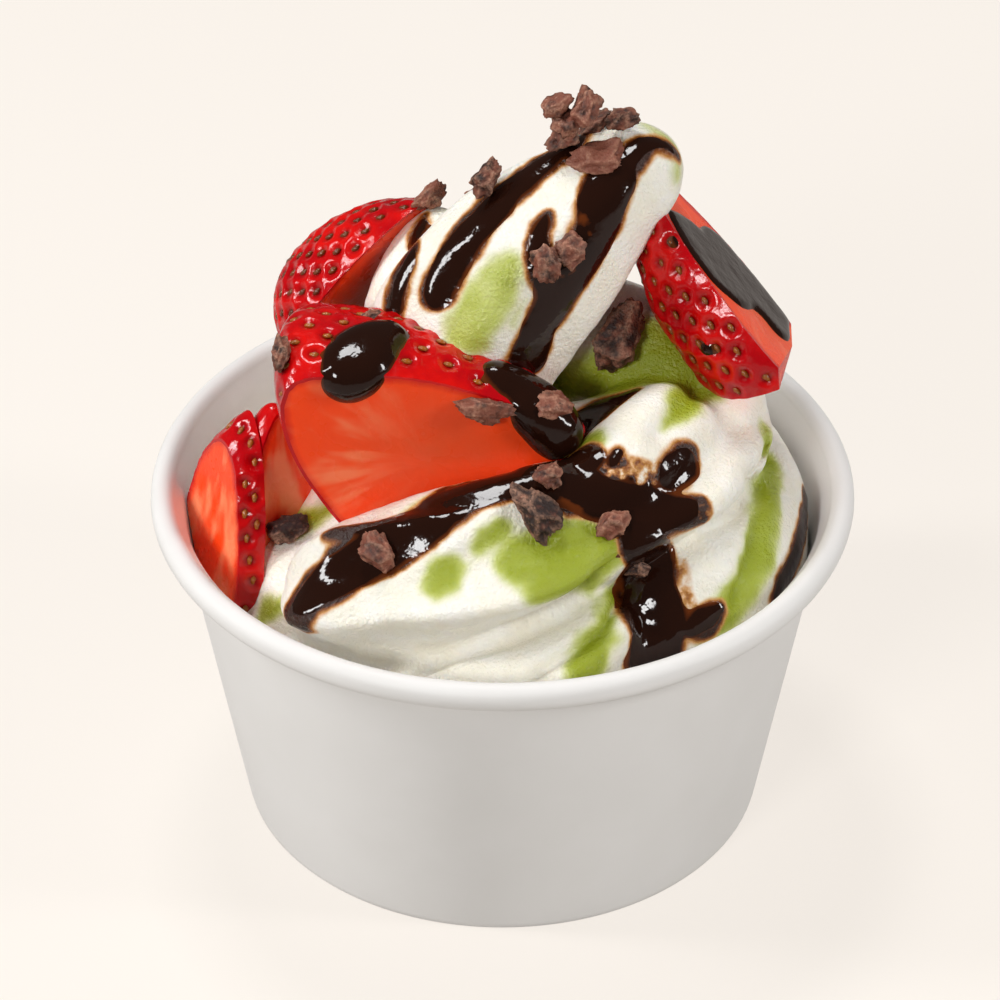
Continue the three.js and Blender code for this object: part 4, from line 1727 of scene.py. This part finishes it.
@dataclass(frozen=True)
class Breakage:
    """How cacao breaks: flat faces at uneven distances, with creases, lumps and worn edges, and paler edges
    and ridges that are partly wear and partly painted highlight.
    """

    faces: int = 14
    nearest_face: float = 0.72
    least_press: float = 0.75
    edge_wear: float = 0.16
    steepest: float = 0.5
    shift: float = 50.0
    fullness: float = 1.06
    lump: float = 0.2
    lump_scale: float = 2.1
    crease: float = 0.3
    crease_scale: float = 3.7
    fine: float = 0.12
    fine_scale: float = 8.6
    # how pale the edges and raised ridges are painted: partly wear, partly painted highlight
    pale_between: Pair = (0.84, 0.98)
    pale_edge: float = 0.45
    ridge_wear_and_highlight_share: float = 0.6
    ridge_width: float = 0.12
    fine_width: float = 0.3
    subdivisions: int = 4


@dataclass(frozen=True)
class Nib:
    """A broken nib: where it shows, its length, width and thickness, how it is turned and how dark it is."""

    pixel: Pixel
    size: Triple
    roll: float
    tone: float = 0.5
    off: float = 0.8
    rise: float = 0.0
    sight: Sight = FRONT
    broken: Breakage = Breakage()

    def add_to(self, mesh: bmesh.types.BMesh, surfaces: Sequence[Surface], seed: int) -> None:
        """Break a nib to shape and lay it on the nearest surface in its line of sight.

        Args:
            mesh: The mesh to add it to.
            surfaces: What it may lie on.
            seed: Sets its broken faces.
        """
        hits = [hit for hit in (surface.seen(self.sight, self.pixel) for surface in surfaces) if hit]
        if not hits:
            log.warning("no surface under the nib at %s", self.pixel)
            return
        point, looks = min(hits, key=lambda hit: (hit[0] - self.sight.eye).length)
        broken = self.broken
        rng = np.random.default_rng(seed)
        ways = rng.normal(size=(broken.faces, 3))
        ways /= np.linalg.norm(ways, axis=1)[:, None]
        reaches = rng.uniform(broken.nearest_face, 1.0, broken.faces)
        edge = mesh.verts.layers.float["edge"]
        tone = mesh.verts.layers.float["tone"]
        ahead = (self.sight.right - looks * self.sight.right.dot(looks)).normalized()
        ahead = Quaternion(looks, math.radians(self.roll)) @ ahead
        aside = looks.cross(ahead)
        ray = self.sight.ray(self.pixel)
        back_off = self.off / max(broken.steepest, -ray.dot(looks))
        middle = point - ray * back_off + UP * self.rise
        shift = Vector(rng.uniform(-broken.shift, broken.shift, 3))
        made = bmesh.ops.create_icosphere(mesh, subdivisions=broken.subdivisions, radius=1.0)["verts"]
        for vert in made:
            way = np.array(vert.co.normalized())
            pressed = np.sort((ways @ way) / reaches)
            most = max(broken.least_press, pressed[-1])
            close = min(1.0, max(0.0, pressed[-2] / most))
            own = Vector(way) * (1.0 / most * (1 - broken.edge_wear * (1 - close)))
            creases = abs(noise.noise(own * broken.crease_scale + shift))
            fine = abs(noise.noise(own * broken.fine_scale + shift))
            lumps = broken.lump * noise.noise(own * broken.lump_scale + shift)
            own *= broken.fullness + lumps - broken.crease * creases - broken.fine * fine
            # paler ridges and edges, kept for the nibs' colour: partly wear, partly painted highlight
            ridge = 1 - min(1.0, creases / broken.ridge_width)
            ridge_wear_and_highlight = broken.ridge_wear_and_highlight_share * ridge * (1 - min(1.0, fine / broken.fine_width))
            edge_wear = broken.pale_edge * float(smooth_step(*broken.pale_between, close))
            vert[edge] = min(1.0, edge_wear + ridge_wear_and_highlight)
            vert[tone] = self.tone
            vert.co = (
                middle
                + ahead * own.x * self.size[0] / 2
                + aside * own.y * self.size[1] / 2
                + looks * own.z * self.size[2] / 2
            )


NIBS = (
    Nib((566, 152), (5.0, 4.0, 3.8), 60, 0.75, 0.0, 4.4),
    Nib((586, 148), (5.6, 3.8, 3.6), 70, 0.8, 0.0, 6.4),
    Nib((564, 150), (4.8, 3.8, 3.4), 20, 0.7, 0.0, 2.2),
    Nib((556, 152), (4.6, 2.8, 2.8), 20, 0.8, 0.0, 6.8),
    Nib((622, 132), (4.6, 2.6, 2.6), 18, 0.6, 0.0, 2.2),
    Nib((600, 160), (8.2, 4.4, 2.6), 14, 1.1, 0.6),
    Nib((487, 190), (5.6, 3.6, 3.0), 45, 0.5, 0.6, 2.0),
    Nib((428, 207), (4.8, 3.2, 2.8), 10, 0.8, 0.8, 1.4),
    Nib((546, 262), (4.6, 4.6, 3.0), 80, 0.65, 0.8),
    Nib((572, 251), (5.4, 3.6, 3.0), 50, 0.7, 0.8),
    Nib((617, 341), (10.0, 6.4, 5.0), 65, 0.45, 1.4),
    Nib((480, 409), (7.4, 3.8, 2.4), -8, 0.8, 0.6),
    Nib((549, 404), (5.6, 4.6, 3.0), 30, 0.9, 1.4),
    Nib((549, 475), (4.2, 3.6, 2.6), 70, 0.6, 1.2),
    Nib((535, 511), (7.8, 4.8, 3.4), -52, 0.15, 1.2),
    Nib((615, 522), (4.6, 3.6, 2.6), 20, 0.9, 1.2),
    Nib((637, 568), (3.0, 2.6, 2.0), 0, 0.2, 1.0),
    Nib((379, 553), (6.2, 4.4, 3.2), -50, 0.75, 1.2),
    Nib((287, 531), (5.4, 4.0, 3.0), 30, 0.15, 1.0),
    Nib((281, 352), (4.2, 3.2, 3.0), 80, 0.6, 1.0),
    Nib((372, 314), (2.6, 1.8, 1.4), 0, 0.6, 0.4),
    Nib((520, 330), (5.0, 4.0, 3.0), 30, 0.7, 0.8, 0.0, BEHIND),
    Nib((400, 230), (5.4, 3.8, 3.0), -30, 0.6, 0.8, 0.0, BEHIND),
    Nib((610, 480), (6.0, 4.2, 3.0), 15, 0.5, 0.8, 0.0, BEHIND),
    Nib((470, 470), (4.6, 3.8, 3.0), 60, 0.8, 0.8, 0.0, BEHIND),
)


@dataclass
class NibScatter:
    """All the nibs that lie on the sundae."""

    nibs: Sequence[Nib] = NIBS
    first_seed: int = 40

    def build(self, surfaces: Sequence[Surface]) -> bpy.types.Object:
        """Lay every nib.

        Args:
            surfaces: What nibs may lie on.

        Returns:
            One piece with all the nibs.
        """
        mesh = bmesh.new()
        mesh.verts.layers.float.new("edge")
        mesh.verts.layers.float.new("tone")
        for i, nib in enumerate(self.nibs):
            nib.add_to(mesh, surfaces, self.first_seed + i)
        return finish_piece("cacao_nibs", mesh, [NibFinish().material()])


# The studio


@dataclass(frozen=True)
class Softbox:
    """A soft light: where it stands, how large it is and how strong, aimed at the sundae."""

    name: str
    place: Triple
    size: Pair
    watts: float
    aim: Triple = (0.0, 0.0, 0.06)

    def build(self) -> bpy.types.Object:
        """Set up the light.

        Returns:
            The light's object.
        """
        data = bpy.data.lights.new(self.name, "AREA")
        data.shape = "RECTANGLE"
        data.size, data.size_y = self.size
        data.energy = self.watts
        light = bpy.data.objects.new(self.name, data)
        light.location = self.place
        light.rotation_mode = "QUATERNION"
        light.rotation_quaternion = (Vector(self.aim) - Vector(self.place)).to_track_quat("-Z", "Y")
        bpy.context.scene.collection.objects.link(light)
        return light


@dataclass
class Studio:
    """A pale table under soft light, and the camera."""

    table_half: float = 2.0
    table_parts: int = 8
    sky: Colour = colour(252, 246, 238)
    sky_strength: float = 0.1
    lights: tuple = (
        Softbox("left_softbox", (-0.62, -0.05, 0.5), (0.1, 0.34), 2.9),
        Softbox("right_softbox", (0.66, -0.16, 0.34), (0.1, 0.34), 2.7),
        Softbox("top_softbox", (-0.1, 0.25, 0.8), (0.2, 0.2), 2.7),
        Softbox("front_softbox", (-0.5, -0.9, 0.62), (0.3, 0.2), 5.8),
    )

    def build(self) -> None:
        """Set the table, lights, sky and camera."""
        mesh = bmesh.new()
        parts = self.table_parts
        bmesh.ops.create_grid(mesh, x_segments=parts, y_segments=parts, size=self.table_half)
        data = bpy.data.meshes.new("table")
        mesh.to_mesh(data)
        mesh.free()
        data.materials.append(FloorFinish().material())
        table = bpy.data.objects.new("table", data)
        bpy.context.scene.collection.objects.link(table)
        for light in self.lights:
            light.build()
        world = bpy.data.worlds.new("soft_sky")
        world.use_nodes = True
        world.node_tree.nodes["Background"].inputs["Color"].default_value = self.sky
        world.node_tree.nodes["Background"].inputs["Strength"].default_value = self.sky_strength
        bpy.context.scene.world = world
        bpy.context.scene.view_settings.view_transform = "Standard"
        FRONT.place_camera()


# The sundae


@dataclass
class Stains:
    """What is kept on the swirl's skin for its colour: mottled patches, the sauce's fringe and syrup."""

    crumb_edge: Pair = (0.8, -0.8)
    crumb_share: float = 0.5
    fringe_edge: Pair = (1.1, -0.7)
    fringe_waver: float = 0.8
    fringe_waver_size: float = 4.0
    deep_edge: Pair = (1.4, -2.2)
    pale_edge: Pair = (1.6, -2.4)
    pale_share: float = 0.72
    syrup_waver: float = 0.7

    def store_on(self, swirl: bmesh.types.BMesh, surface: Surface) -> None:
        """Keep the stains on the swirl.

        Args:
            swirl: The swirl's mesh.
            surface: The same mesh, to lay the runs on.
        """
        places = places_of(swirl)
        crumbs = smooth_step(*self.crumb_edge, StrokeField(surface, BLEEDS).outside(places))
        store(swirl, "crumbs", crumbs)
        sauce = StrokeField(
            surface,
            SAUCE_ON_PEAK + SAUCE_ON_SWIRL,
            waver=self.fringe_waver,
            waver_size=self.fringe_waver_size,
        )
        fringe = smooth_step(*self.fringe_edge, sauce.outside(places))
        store(swirl, "bleed", np.maximum(fringe, self.crumb_share * crumbs))
        deep = StrokeField(surface, SYRUP, waver=self.syrup_waver).outside(places)
        pale = StrokeField(surface, PALE_SYRUP, waver=self.syrup_waver).outside(places)
        pale_syrup = self.pale_share * smooth_step(*self.pale_edge, pale)
        store(swirl, "syrup", np.maximum(smooth_step(*self.deep_edge, deep), pale_syrup))


@dataclass
class Sundae:
    """The whole sundae: cup, swirl, strawberries, sauce, nibs and seeds."""

    cup: PaperCup = field(default_factory=PaperCup)
    carrier_voxel: float = 0.45
    berry_smoothing: int = 24
    front_thickness: float = 1.5
    right_thickness: float = 0.4
    thin_waver: float = 0.8
    thin_waver_size: float = 1.2

    def pour_on_swirl(self, swirl: bmesh.types.BMesh, surface: Surface) -> None:
        """Pour the sauce over the peak and the swirl.

        Args:
            swirl: The swirl's mesh.
            surface: The same mesh, to lay the runs on.
        """
        thin = StrokeField(surface, THIN_SAUCE, waver=self.thin_waver, waver_size=self.thin_waver_size)
        SaucePour("sauce_on_peak", swirl, StrokeField(surface, SAUCE_ON_PEAK), thin).build()
        SaucePour("sauce_on_swirl", swirl, StrokeField(surface, SAUCE_ON_SWIRL), thin).build()

    def pour_on_berry(self, berry: Strawberry, strokes: Sequence[Stroke], thickness: float) -> None:
        """Pour sauce over a strawberry.

        Args:
            berry: The piece of strawberry.
            strokes: The runs of sauce on it.
            thickness: How thick they are.
        """
        carrier = remeshed(berry.build(self.cup, pitted=False), self.carrier_voxel)
        SaucePour(
            f"sauce_on_{berry.node}",
            carrier,
            StrokeField(Surface(carrier), strokes),
            thickness=thickness,
            edge=thickness,
            smoothing=self.berry_smoothing,
        ).build()
        carrier.free()

    def build(self) -> None:
        """Build and dress the sundae, piece by piece."""
        self.cup.build()
        swirl = SoftServe(self.cup).build()
        surface = Surface(swirl)
        berries = {berry.node: berry for berry in STRAWBERRIES}
        meshes = {node: berry.build(self.cup) for node, berry in berries.items()}
        berry_surfaces = [Surface(mesh) for mesh in meshes.values()]
        Stains().store_on(swirl, surface)
        self.pour_on_swirl(swirl, surface)
        self.pour_on_berry(berries["strawberry_front"], SAUCE_ON_FRONT_BERRY, self.front_thickness)
        self.pour_on_berry(berries["strawberry_right"], SAUCE_ON_RIGHT_BERRY, self.right_thickness)
        NibScatter().build([surface, *berry_surfaces])
        SeedSet().build(STRAWBERRIES, self.cup)
        skin, flesh = SkinFinish().material(), FleshFinish().material()
        for node, mesh in meshes.items():
            finish_piece(f"{node}_piece", mesh, [skin, flesh], node)
        finish_piece("swirl", swirl, [SoftServeFinish().material()], "soft_serve")


def main() -> None:
    """Build the sundae and the studio."""
    logging.basicConfig(level=logging.INFO, format="%(name)s: %(message)s")
    Sundae().build()
    Studio().build()


if __name__ == "__main__":
    main()
